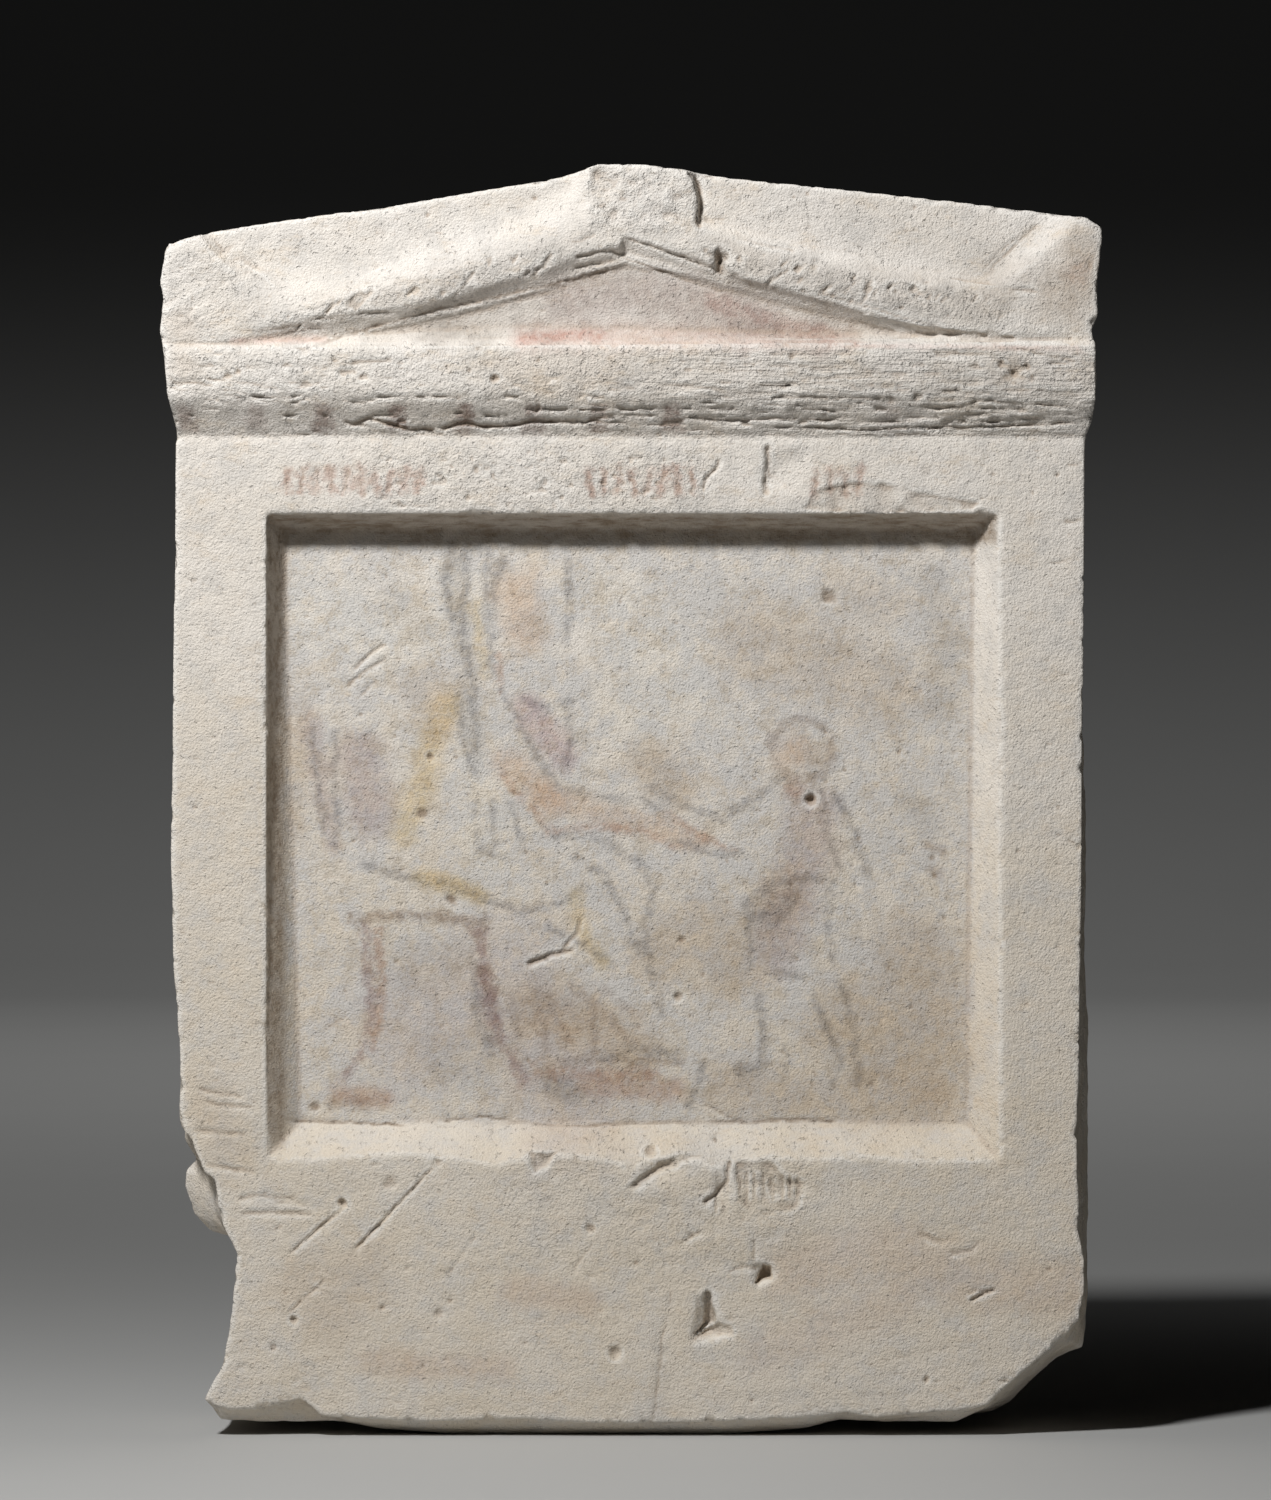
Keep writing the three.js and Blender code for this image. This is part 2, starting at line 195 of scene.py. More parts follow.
def along(points, x, z):
    """Distance from a line through the points, and the share of its length reached there."""
    if len(points) == 1:
        return np.hypot(x - points[0][0], z - points[0][1]), np.full_like(x, 0.5)
    lengths = [math.dist(a, b) for a, b in zip(points, points[1:])]
    nearest, share, gone = np.full_like(x, np.inf), np.zeros_like(x), 0.0
    for (ax, az), (bx, bz), length in zip(points, points[1:], lengths):
        t = np.clip(((x - ax) * (bx - ax) + (z - az) * (bz - az)) / length**2, 0, 1)
        d = np.hypot(x - ax - t * (bx - ax), z - az - t * (bz - az))
        closer = d < nearest
        nearest = np.where(closer, d, nearest)
        share = np.where(closer, (gone + t * length) / sum(lengths), share)
        gone += length
    return nearest, share


def within(points, x, z):
    """Distance inside a closed outline, negative outside it."""
    nearest, _ = along([*points, points[0]], x, z)
    odd = np.zeros(x.shape, bool)
    for (ax, az), (bx, bz) in zip(points, [*points[1:], points[0]]):
        if az == bz:
            continue
        crosses = (az > z) != (bz > z)
        odd ^= crosses & (x < ax + (z - az) * (bx - ax) / (bz - az))
    return np.where(odd, nearest, -nearest)


# How deep each cell of the map is cut, in mm, and how much dirt lies there
relief = np.zeros_like(MAP_X)
soil = np.zeros_like(MAP_X)


def groove(width, depth, points, dirt=0.0):
    """A furrow, or a low ridge where the depth is negative, that fades at both ends."""
    part, x, z = window(points, width)
    distance, share = along(points, x, z)
    cut = ramp(width * 0.62, 0, distance) * (0.8 + 0.5 * UNEVEN[part])
    cut *= ramp(0, 0.08, share) * ramp(1, 0.92, share)
    relief[part] += depth * cut
    soil[part] = np.maximum(soil[part], dirt * np.clip(cut, 0, 1))


def grooves(rows):
    for width, depth, dirt, points in rows:
        groove(width, depth, points, dirt)


def pit(x, z, radius, depth, dirt=0.3):
    """A round hollow with soft edges."""
    part, px, pz = window([(x, z)], radius * 1.6)
    distance = np.hypot(px - x, pz - z) * (1 - 0.3 * UNEVEN[part])
    cut = ramp(radius * 1.25, radius * 0.2, distance)
    relief[part] += depth * cut
    soil[part] = np.maximum(soil[part], dirt * cut)


def pits(dirt, rows):
    for x, z, radius, depth in rows:
        pit(x, z, radius, depth, dirt)


def flake(depth, rim, points, roughness=0.3, dirt=0.0):
    """A shallow scar with the given outline, whose edge falls within the rim's width."""
    part, x, z = window(points, 2)
    cut = ramp(0, rim, within(points, x, z))
    relief[part] += depth * cut * (1 + roughness * UNEVEN[part])
    soil[part] = np.maximum(soil[part], dirt * cut * (0.7 + 0.6 * UNEVEN[part]))


def pediment_marks():
    grooves([
        (1.4, 0.6, 0.2, [(-102, 351.1), (-92.6, 351.7), (-83.1, 353.1), (-73.7, 353.6)]),
        (1.5, 0.6, 0.9, [
            (-102, 341.8), (-88.4, 346.9), (-62.2, 353.9), (-40.1, 358.6), (-15, 364.7),
            (-2.4, 368.2),
        ]),
        (1.1, 0.5, 0.3, [(-109.3, 343.1), (-96.8, 345.5), (-86.3, 348.6)]),
        (1.1, 0.5, 0.2, [(-116.7, 344.4), (-105.1, 347.6), (-96.8, 348.6)]),
        (1.1, 0.4, 0.2, [(-125.1, 347.1), (-116.7, 347.3), (-102, 349.2)]),
        (1, 0.6, 0.3, [(-19.2, 374.8), (-15, 375.9), (-10.8, 377.5)]),
        (1.4, 0.7, 0.4, [(-18.1, 370.1), (-6.6, 372.8), (-1.4, 371.2)]),
        (1.1, 0.5, 0.3, [(-18.1, 367.5), (-9.7, 368.9), (-4.5, 370.1)]),
        (2.4, -0.5, 0, [(-128.7, 372.2), (-124, 369.6), (-116.7, 365.2), (-110.9, 360.5)]),
        (2.2, 1.6, 0.5, [
            (18, 397.4), (20.1, 395.3), (21.7, 391.6), (22, 388), (21.4, 383.8), (21.2, 379.4),
        ]),
        (1.2, 0.8, 0.4, [(-2.4, 376.8), (4.9, 374.5), (13.3, 371.7), (22.7, 368.2), (26.9, 366.8)]),
        (1, 0.5, 0.8, [(-3.5, 371), (2.8, 368.9), (11.2, 365.9), (17.5, 363.6), (31.1, 359.6)]),
        (1.1, 0.6, 0.3, [(58.4, 359.6), (69.9, 356.5), (83.5, 352.3), (97.2, 348.1)]),
        (1.1, 0.6, 0.3, [(59.4, 357), (72, 353.4), (80.4, 351.3), (90.9, 348.6)]),
        (1, 0.5, 0.3, [(32.7, 377.3), (40.6, 374.8), (52.1, 372.8)]),
        (1.1, 0.5, 0.1, [(111.8, 366.5), (120.2, 374.3), (128.6, 381.7)]),
        (1, 0.4, 0.1, [(110.3, 367), (117.1, 373.3), (122.3, 378)]),
        (0.9, -0.2, 0, [(40, 384.3), (49, 387.1), (56.3, 389.5)]),
        (1, 0.25, 0, [
            (41.1, 381.1), (43.7, 382.2), (55.2, 382.7), (67.8, 382.5), (80.4, 380.9),
        ]),
        (0.9, -0.2, 0, [(86.7, 379), (90.9, 382.2), (95.1, 385.9)]),
        (0.9, -0.2, 0, [(100.3, 376.2), (104.5, 379), (107.7, 382.7)]),
    ])
    for x, z in [
        (53, 363.3), (59.4, 359.6), (63.6, 358.6), (67.8, 360.2), (69.9, 362.8), (73.6, 360.7),
        (76.2, 359.6), (68.9, 356.5), (73.1, 357.6), (89.8, 358.6), (93.5, 358.1), (96.1, 358.4),
        (98.2, 357.6), (107.7, 357.6),
    ]:
        groove(1.3, 0.55, [(x - 0.9, z - 1.3), (x + 0.9, z + 1.3)], 0.2)
    flake(1.0, 1.2, [(116, 361.5), (125.5, 360.9), (131.8, 358.4), (122.3, 359.2)])
    pit(-78.9, 378.5, 2.9, 0.35, 0.1)
    pits(0.6, [
        (28.2, 370.6, 2.7, 2.4), (27.9, 367.6, 2.3, 2), (-64.3, 384.3, 0.8, 0.6),
        (-30.2, 389.3, 0.8, 0.5), (55.2, 390.6, 0.8, 0.5), (89.3, 386.4, 0.9, 0.7),
        (32.7, 392.1, 0.8, 0.5),
    ])


def cornice_marks():
    grooves([
        (1.3, 0.9, 0.6, [(-88.4, 337.3), (-83.1, 337.6), (-74.7, 338.1)]),
        (1.1, 0.6, 0.3, [(-42.2, 338.3), (-38.1, 338.3)]),
        (1.2, 0.8, 0.4, [(-145, 331.1), (-138.7, 331.1), (-130.8, 330.3)]),
        (1.1, 0.6, 0.2, [(-134.5, 332.4), (-124, 331.6), (-109.3, 329)]),
        (1.1, 0.6, 0.2, [(-128.7, 329.3), (-117.7, 326.9), (-107.2, 326.6), (-102, 327.4)]),
        (1.1, 0.5, 0.2, [(-128.2, 327.7), (-119.8, 325.9), (-109.3, 325.3)]),
        (1.1, 0.5, 0.2, [(-109.3, 331.6), (-102, 330.3), (-96.8, 331.1)]),
        (1.8, 1.1, 1, [
            (-91, 320.3), (-87.8, 318.2), (-82.6, 320.3), (-77.4, 318.8), (-70, 316.9),
            (-60.6, 316.7),
        ]),
        (1.8, 1.1, 1, [
            (-61, 316.7), (-52.2, 318.8), (-45.9, 317.5), (-36.5, 318.2), (-29.1, 319.8),
            (-14.5, 318.8),
        ]),
        (1.4, 0.8, 0.8, [(-16, 318.6), (-10, 320.2), (-5, 320.7)]),
        (1.1, 0.6, 0.3, [(-29.1, 327.2), (-29.4, 321.9)]),
        (1.1, 0.5, 0.2, [(-16.6, 327.2), (-8.2, 326.6)]),
        (1.1, 0.5, 0.2, [(-18.7, 323), (-5, 322.6)]),
        (1.1, 0.5, 0.2, [(-31.2, 328.7), (-23.9, 328.2)]),
        (1.3, 0.7, 0.3, [(-128.7, 332.4), (-121.9, 334.7)]),
        (1.2, 0.7, 0.5, [
            (15.4, 320.7), (23.8, 320), (32.2, 319.3), (44.8, 320.3), (61.5, 319.8), (69.9, 321.1),
        ]),
        (1.1, 0.5, 0.2, [(49, 326.6), (61.5, 326.6)]),
        (1.3, 0.6, 0.2, [(45.8, 329.3), (55.2, 332.4), (76.2, 333.1)]),
        (1.1, 0.5, 0.2, [(63.6, 326.6), (84.6, 325.9)]),
        (1.2, 0.6, 0.2, [
            (74.1, 325.6), (90.9, 324), (101.4, 323.5), (109.8, 325.6), (141.2, 323.5),
        ]),
        (1.3, 0.9, 0.3, [
            (44.2, 317.7), (55.2, 317.5), (69.9, 316.7), (90.9, 317.5), (106.6, 317.5),
            (142.2, 318.8),
        ]),
        (1.1, 0.6, 0.4, [(121.8, 341.8), (130.7, 339.7), (140.1, 338)]),
    ])
    filling = [(112, 340), (121, 341.5), (130, 340), (133, 334), (128, 329), (119, 328), (112, 331)]
    flake(-1.4, 4.0, filling, 0.9)
    pits(0.5, [
        (116, 337, 1.9, 1.6), (120, 334, 1.6, 1.2), (124, 336.5, 1.3, 1), (126, 332.6, 1.5, 1.1),
    ])
    pits(0.6, [
        (-126.1, 333.4, 1.3, 0.7), (-123, 335, 1, 0.6), (-42.8, 332.7, 1.7, 1.3),
        (-50.6, 335, 1, 0.7), (-29.1, 338.2, 0.8, 0.5), (139.9, 340.3, 0.8, 0.7),
        (50.5, 339.2, 1.2, 0.7),
    ])
    chisels = np.random.default_rng(5)
    for _ in range(90):
        x = chisels.uniform(-20, 125)
        z = chisels.uniform(315.5, 331)
        length = chisels.uniform(5, 17)
        rise = chisels.uniform(-0.4, 0.4)
        groove(1.1, chisels.uniform(0.2, 0.5), [(x, z), (min(x + length, 143), z + rise)], 0.1)


def architrave_marks():
    arch = [
        (58.4, 298.3), (69.9, 300.7), (83.5, 299.6), (90.9, 297.3), (101.4, 295.7), (110.8, 294.1),
        (107.7, 291), (69.9, 289.9), (53.1, 291.5),
    ]
    flake(0.55, 1.0, arch, 0.9, 0.35)
    grooves([
        (2.2, 1.4, 0.5, [(42.7, 311.9), (43.2, 307.2), (42.3, 303), (42.3, 295.7)]),
        (1.4, 0.9, 0.3, [(28, 307.8), (26.9, 304.6), (23.3, 300.9), (22.7, 296.8)]),
        (0.9, -0.2, 0, [(69.9, 308.8), (75.2, 307.8)]),
        (1.2, 0.7, 0.3, [(137, 305.7), (142.2, 306)]),
        (1.2, 0.6, 0.3, [(136, 287.8), (141.7, 288.4)]),
        (1.2, 0.5, 0.3, [(131.2, 274.7), (137, 275.3)]),
    ])
    pit(134.1, 302.8, 0.9, 0.8)
    pit(113.9, 302.5, 0.8, 0.4)
    pit(92.5, 303.5, 2.4, 0.2, 0.2)


def lower_field_marks():
    grooves([
        (1.1, 1, 0, [(-61.6, 85.5), (-74.7, 71.4), (-87.8, 57.8)]),
        (1.1, 1, 0, [(-88.9, 73.3), (-98.8, 65.1), (-107.8, 57.2)]),
        (1, 0.6, 0, [(-95.7, 49.9), (-102, 44.1), (-107.8, 38.9)]),
        (0.9, 0.4, 0, [(-48, 64), (-53.8, 56.7), (-57.4, 50.9)]),
        (0.9, 0.5, 0.1, [(-10.8, 62), (-14.5, 57.8), (-18.7, 52)]),
        (1.5, 0.5, 0.3, [(-136.1, 109.6), (-121.9, 107)]),
        (1.5, 0.5, 0.3, [(-134.5, 106), (-130.8, 104.7), (-118.2, 103.4)]),
        (1.5, 0.5, 0.3, [(-137.6, 96.5), (-120.3, 95)]),
        (1.6, 0.6, 0.3, [(-134.5, 85.5), (-128.2, 84.8), (-117.7, 83.1)]),
        (1.8, 0.6, 0.2, [(-123.5, 70.3), (-113.5, 70.5), (-99.9, 70.1)]),
        (1.6, 0.5, 0.1, [(-124, 74.7), (-116.7, 76.1), (-105.1, 75.1)]),
        (1.4, 0.4, 0.1, [(-113.5, 74.5), (-100.9, 73.3)]),
        (1.8, 1.3, 0.4, [(31.1, 87.1), (30.1, 80.8), (26.9, 76.6), (22.7, 73)]),
        (1.3, 0.7, 0.2, [(26.9, 76.6), (26.4, 70.3)]),
        (1.3, 0.8, 0.3, [(15.9, 61.4), (21.7, 64.6)]), (1.2, 0.8, 0.3, [(38.5, 62), (38.5, 55.1)]),
        (1.3, 0.5, 0.1, [(30.1, 52), (35.3, 53.6), (39.5, 53)]),
        (1.3, 0.4, 0.2, [
            (12.8, 48.3), (11.7, 38.9), (9.6, 30.5), (9.1, 23.2), (7.5, 11.6), (7, 4.3),
        ]),
        (1.4, 1.1, 0.2, [(106.6, 42.6), (114.5, 46.8)]),
        (1, 0.5, 0.1, [(105.6, 45.2), (108.7, 46.2)]),
        (0.9, 0.25, 0.2, [(66.8, 33.1), (86.7, 35.2)]),
        (0.9, 0.25, 0.2, [(73.1, 22.6), (90.9, 26.3), (101.4, 28.4)]),
        (0.9, 0.25, 0.2, [(69.1, 80.8), (69.1, 67.2)]),
        (2.6, 0.6, 0, [(89.3, 64.6), (95.1, 62), (99.3, 60.9)]),
        (2.2, 0.5, 0, [(100.3, 57.8), (106.6, 58.3), (109.8, 62)]),
        (1.1, 0.7, 0.2, [(115, 17.4), (119.2, 17.9)]),
    ])
    flake(1.4, 1.6, [(-32.8, 89.7), (-22.3, 89.7), (-26.5, 84), (-31.2, 82.4)])
    triangle = [
        (-2.4, 77.1), (2.8, 82.9), (9.1, 87.1), (14.9, 89.7), (25.9, 88.7), (14.4, 84.5),
        (8.1, 81.9), (1.8, 77.1),
    ]
    flake(1.1, 2.0, triangle)
    clawed = [
        (31.7, 87.6), (44.8, 87.6), (49, 81.9), (55.8, 80.8), (53.1, 71.4), (40.6, 67.7),
        (34.3, 72.4), (32, 80.8),
    ]
    flake(0.6, 2.0, clawed, 1.1, 0.25)
    for x in (33.6, 36.2, 38.6, 41.4, 44.2, 47.2, 49.8, 52.2):
        groove(1.2, 0.6, [(x, 84 - 0.1 * (x - 33)), (x + 0.3, 73 + 0.1 * (x - 33))], 0.3)
    flake(2.2, 0.9, [
        (41, 54.8), (43.9, 54), (45, 49.6), (41.8, 49), (37.9, 46.8), (39.9, 50.4),
    ], 0.3, 0.4)
    flake(2.4, 0.9, [
        (23, 46.2), (25.5, 46), (27.1, 36.6), (21.7, 32.6), (18.6, 31.6), (22.3, 35.7),
    ], 0.3, 0.4)
    flake(1.1, 1.2, [
        (27.1, 36.6), (32.2, 35.2), (32.7, 31.6), (23.8, 31), (17.7, 31), (21.7, 33.1),
    ])
    pits(0.3, [
        (-75.8, 79.8, 2.3, 0.5), (-90.7, 73.5, 1.7, 1.4), (-106.2, 36.8, 1.4, 1.1),
        (-78.4, 40.7, 1.3, 0.7), (-60.6, 38.9, 1.9, 0.7), (-56.9, 42.6, 1, 0.6),
        (-5, 26.3, 2.5, 1.1), (-12.9, 65.6, 1.5, 0.8), (-33.3, 29.5, 1, 0.7),
        (-65.3, 22.1, 0.9, 0.6), (-112.5, 28.4, 1.3, 0.6), (6, 89.7, 2.1, 1.8),
        (26.4, 92.6, 0.9, 1), (93, 17.9, 1.3, 0.9), (37.9, 11.6, 0.8, 0.7), (1.8, 54.6, 0.9, 0.5),
        (131.8, 52.5, 1, 0.5), (92.5, 90.7, 0.7, 0.6),
    ])


def panel_marks():
    grooves([
        (1.6, 0.7, 0.2, [(-88, 241), (-82, 247), (-77, 250)]),
        (1.6, 0.6, 0.2, [(-90, 236), (-84, 241), (-77, 245)]),
        (1.3, 0.5, 0.2, [(-86, 233), (-80, 238)]),
        (2.2, 1.1, 0.9, [(-33.5, 148), (-26, 151), (-18, 153)]),
        (1.4, 0.8, 0.6, [(-22, 153), (-17, 158), (-16, 163)]),
        (1, 0.5, 0.6, [(-97, 127.5), (-90, 132)]),
        (1.1, 0.6, 0.9, [(-110, 99), (-94, 98.4), (-70, 97.4)]),
        (1.1, 0.6, 0.9, [(-60, 98.8), (-48, 100), (-38, 99.3)]),
        (1.1, 0.6, 0.9, [(-33, 97.6), (-15, 97.2), (2, 98), (20, 98.4)]),
        (1.2, 0.7, 1, [(24, 98.6), (36, 98.2), (48, 99.2), (66, 98.6)]),
        (0.9, 0.4, 0.6, [(22, 105), (30, 100.5), (36, 98.8)]),
    ])
    pits(0.8, [
        (57, 200.5, 1.9, 2), (62.5, 264.5, 2.6, 0.7), (15, 138, 1.7, 0.9), (62, 263, 1, 0.5),
        (-63.5, 214, 1.3, 0.9), (-66, 196, 2.4, 0.5), (-57, 168.6, 2.2, 0.6), (-100, 103, 1.8, 0.6),
        (16, 156, 1.4, 0.6), (95, 182, 1.5, 0.3), (96, 176.5, 1.3, 0.3),
    ])
    grains = np.random.default_rng(8)
    for _ in range(420):
        x = grains.uniform(-106, 104)
        z = grains.uniform(101, 280)
        if grains.uniform() < 0.35 + 0.65 * (x > 0) * (z < 190):
            pit(x, z, grains.uniform(0.5, 0.9), grains.uniform(0.2, 0.6), 0.3)


# ---- the painting

# Distance from paint, negative in it, and what paint and washes multiply the stone by
NO_PAINT = 9.0
paint_gap = np.full_like(MAP_X, NO_PAINT)
paint_tint = np.ones((*MAP_X.shape, 3))
wash = np.ones((*MAP_X.shape, 3))

SLATE = (0.42, 0.42, 0.44)
UMBER = (0.48, 0.39, 0.33)
PLUM = (0.48, 0.34, 0.33)
RUST = (0.66, 0.44, 0.33)
FLESH = (0.88, 0.72, 0.60)
OCHRE = (0.95, 0.80, 0.52)
MAUVE = (0.68, 0.60, 0.61)
CLAY = (0.76, 0.67, 0.57)
ASH = (0.74, 0.73, 0.72)
CHALK = (1.06, 1.06, 1.04)
ROSE = (0.86, 0.66, 0.62)
LILAC = (0.78, 0.66, 0.68)
SHADE = (0.66, 0.63, 0.60)
DENTIL_BROWN = (0.42, 0.34, 0.32)
SIGN_RED = (0.58, 0.40, 0.34)


def lay_paint(part, gap, tint, strength):
    """New paint in one part of the map, wherever it is nearer than the paint already there."""
    closer = gap < paint_gap[part]
    paint_gap[part] = np.where(closer, gap, paint_gap[part])
    full = 1 - strength * (1 - np.array(tint))
    paint_tint[part] = np.where(closer[..., None], full, paint_tint[part])


def stroke(tint, width, points, strength):
    part, x, z = window(points, 4 + width)
    distance, _ = along(points, x, z)
    lay_paint(part, distance - width / 2 + 0.35 * width * UNEVEN[part], tint, strength)


def strokes(tint, strength, rows):
    for width, points in rows:
        stroke(tint, width, points, strength)


def filled(tint, points, strength):
    part, x, z = window(points, 4)
    lay_paint(part, -within(points, x, z), tint, strength)


def washed(tint, points, reach, strength):
    """A soft cloud of colour along a line, or round one point."""
    part, x, z = window(points, reach * 1.4)
    distance, _ = along(points, x, z)
    share = strength * ramp(reach * 1.3, reach * 0.25, distance * (1 + 0.35 * UNEVEN[part]))
    wash[part] *= 1 - share[..., None] * (1 - np.array(tint))


def washes(rows):
    for tint, points, reach, strength in rows:
        washed(tint, points, reach, strength)


def bands_of_paint():
    """The tympanum, dentils under the cornice and a row of strokes, not letters, below them."""
    washes([
        (SHADE, [(-60, 350), (-4, 362), (60, 350)], 9, 0.7),
        (SHADE, [(-80, 347.5), (80, 347)], 4, 0.5),
        (SHADE, [(28, 370), (60, 363), (112, 357)], 8, 0.6),
        (SHADE, [(118, 366), (140, 356), (142, 370)], 9, 0.55),
        (SHADE, [(-96, 353), (-60, 362), (-16, 374)], 6, 0.35),
        (SHADE, [(-140, 320), (0, 320), (140, 321)], 8, 0.2),
        (SHADE, [(0, 333), (140, 334)], 8, 0.35), (SHADE, [(40, 386), (110, 378)], 12, 0.12),
        (ROSE, [(-34, 345.5), (-10, 346), (20, 345.5), (66, 344.5)], 5, 0.55),
        (ROSE, [(-34, 344.6), (-22, 346.2), (-10, 346.4)], 2.2, 0.9),
        (ROSE, [(26, 357), (44, 351), (62, 346)], 3.5, 0.6),
        (MAUVE, [(-20, 358), (10, 360), (40, 352)], 9, 0.55),
        (ROSE, [(-125, 344.3), (-96, 345)], 1.2, 0.7), (ROSE, [(70, 343), (140, 342)], 1, 0.6),
    ])
    for place, strength in [
        (-139.6, 0.7), (-118, 0.5), (-96.5, 0.8), (-73.5, 1), (-52.2, 0.95),
        (-30.6, 0.85), (-10, 0.75), (12.8, 0.9), (81, 0.35),
    ]:
        top, foot, head_z, foot_z = 2.1, 3.2, 323.8, 316.6
        dentil = [
            (place - top, head_z), (place + top, head_z),
            (place + foot, foot_z), (place - foot, foot_z),
        ]
        filled(DENTIL_BROWN, dentil, strength)
    scribe = np.random.default_rng(14)
    step = 4.6
    for first, last in [(-108, -62), (-13, 22), (58, 74)]:
        for place in np.arange(first, last, step):
            foot, head = 297 + scribe.uniform(-0.6, 0.9), 304.6 + scribe.uniform(-1.6, 0.9)
            lean = scribe.uniform(-0.9, 0.9)
            points = [(place - lean, foot), (place + lean, head)]
            stroke(SIGN_RED, 1.5, points, scribe.uniform(0.45, 0.85))
            groove(1.6, 0.3, points)


def seated_figure():
    washes([
        (FLESH, [(-36, 266), (-34, 254)], 8.5, 0.75),
        (ASH, [(-56, 276), (-52, 240), (-49, 215)], 4.5, 0.7),
        (OCHRE, [(-49, 262), (-48, 250), (-46, 240)], 2.4, 0.6),
        (OCHRE, [(-58, 230), (-62, 222), (-66, 206), (-72, 190)], 5.5, 0.75),
        (OCHRE, [(-66, 176), (-58, 174), (-48, 170)], 4, 0.85),
        (OCHRE, [(-18, 170), (-15, 158), (-9, 149)], 3, 0.7),
        (CLAY, [(-66, 236), (-60, 226)], 9, 0.5),
        (CHALK, [(-52, 222), (-46, 205), (-48, 184)], 10, 0.7),
        (MAUVE, [(-86, 214), (-83, 196)], 9, 0.8),
        (MAUVE, [(-101, 225), (-98, 204), (-94, 186)], 4, 0.6),
        (LILAC, [(-33, 230), (-28, 222), (-21, 214)], 5.5, 0.9),
        (FLESH, [(-40, 212), (-31, 206), (-26, 200)], 6, 0.75),
        (FLESH, [(-26, 202), (-10, 196), (6, 192), (20, 188)], 5, 0.65),
    ])
    strokes(SLATE, 0.62, [
        (1.6, [(-56, 282), (-59, 270), (-57, 258)]),
        (1.2, [(-52, 279), (-53.5, 256), (-50, 236), (-49, 216)]),
        (1.2, [(-45, 281), (-46, 262), (-44, 252)]),
        (1.5, [(-40, 280), (-43, 268), (-45, 254), (-44, 240)]),
        (1.3, [(-20, 276), (-19, 262), (-21, 250)]), (1, [(-55, 233), (-53, 218), (-49, 208)]),
        (1.3, [(-41, 235), (-36, 226), (-29, 213), (-22, 203)]),
        (1.1, [(-35, 232), (-27, 230), (-18, 232)]), (1.4, [(-20, 232), (-19, 218), (-21, 210)]),
        (1.1, [(-20, 204), (-8, 201), (4, 200), (10, 197)]),
        (1, [(-50, 200), (-48, 184), (-40, 182)]), (0.9, [(-44, 200), (-43, 186)]),
        (0.9, [(-38, 200), (-35, 188)]),
        (1.4, [(-24, 189), (-10, 188), (2, 181), (7, 172), (4, 158)]),
        (1.1, [(-18, 182), (-8, 176), (-2, 164), (2, 152)]),
        (1.6, [(-85, 180), (-72, 176), (-58, 173), (-46, 169), (-34, 165)]),
        (1.1, [(-34, 165), (-22, 168), (-14, 173)]), (1, [(-101, 224), (-99, 205), (-97, 190)]),
        (1, [(-94, 222), (-93, 200), (-93, 186)]), (1.2, [(4, 158), (6, 146), (10, 132)]),
        (1.2, [(-26, 160), (-14, 154), (-6, 148)]),
    ])
    strokes(RUST, 0.6, [
        (1.2, [(-41, 208), (-32, 198), (-26, 190), (-10, 192), (4, 190), (14, 185)]),
        (1, [(-41, 234), (-42, 246)]), (1, [(10, 197), (20, 190), (32, 184)]),
    ])
    strokes(UMBER, 0.4, [
        (1.5, [(-38, 138), (-36, 126), (-34, 116)]), (1.5, [(-30, 140), (-27, 126), (-28, 112)]),
        (1.5, [(-20, 142), (-10, 134), (2, 122)]), (1.5, [(-26, 138), (-20, 124)]),
        (1.5, [(-8, 140), (4, 130)]), (1.5, [(-12, 136), (-12, 120), (-2, 112)]),
    ])
    washed(CLAY, [(-30, 134), (-14, 130), (0, 122)], 11, 0.75)


def furniture():
    stroke(UMBER, 2.2, [(-88, 163), (-74, 163.5), (-60, 163), (-47, 162)], 0.7)
    for tint, width, points in [
        (PLUM, 2.2, [(-84, 160), (-83, 146), (-82, 132), (-86, 118), (-91, 112)]),
        (RUST, 1.8, [(-80, 159), (-79, 145), (-79, 133), (-82, 122)]),
        (PLUM, 3.4, [(-48, 158), (-46, 146), (-44, 134), (-40, 122), (-34, 112)]),
        (RUST, 1.4, [(-43, 128), (-38, 118), (-33, 110)]),
        (SLATE, 1.4, [(-50, 150), (-49, 132), (-44, 120)]),
        (RUST, 2.2, [(-30, 113.5), (-10, 113.8), (8, 113.5)]),
        (UMBER, 1.2, [(-32, 117), (-14, 118), (16, 117)]),
        (SLATE, 1.8, [(23, 117), (20, 108), (18, 104)]),
        (SLATE, 1.6, [(-10, 118), (2, 122), (14, 120)]),
    ]:
        stroke(tint, width, points, 0.62)
    washes([
        (RUST, [(-14, 110), (4, 108), (14, 109)], 4.5, 0.6),
        (SLATE, [(-25, 110), (-17, 107)], 4.2, 0.6), (PLUM, [(-47, 146), (-43, 130)], 3, 0.5),
        (RUST, [(-92, 107), (-78, 105.5)], 3.6, 0.65), (ASH, [(-72, 148), (-58, 150)], 10, 0.45),
        (ASH, [(-60, 118), (-48, 116)], 10, 0.5),
    ])


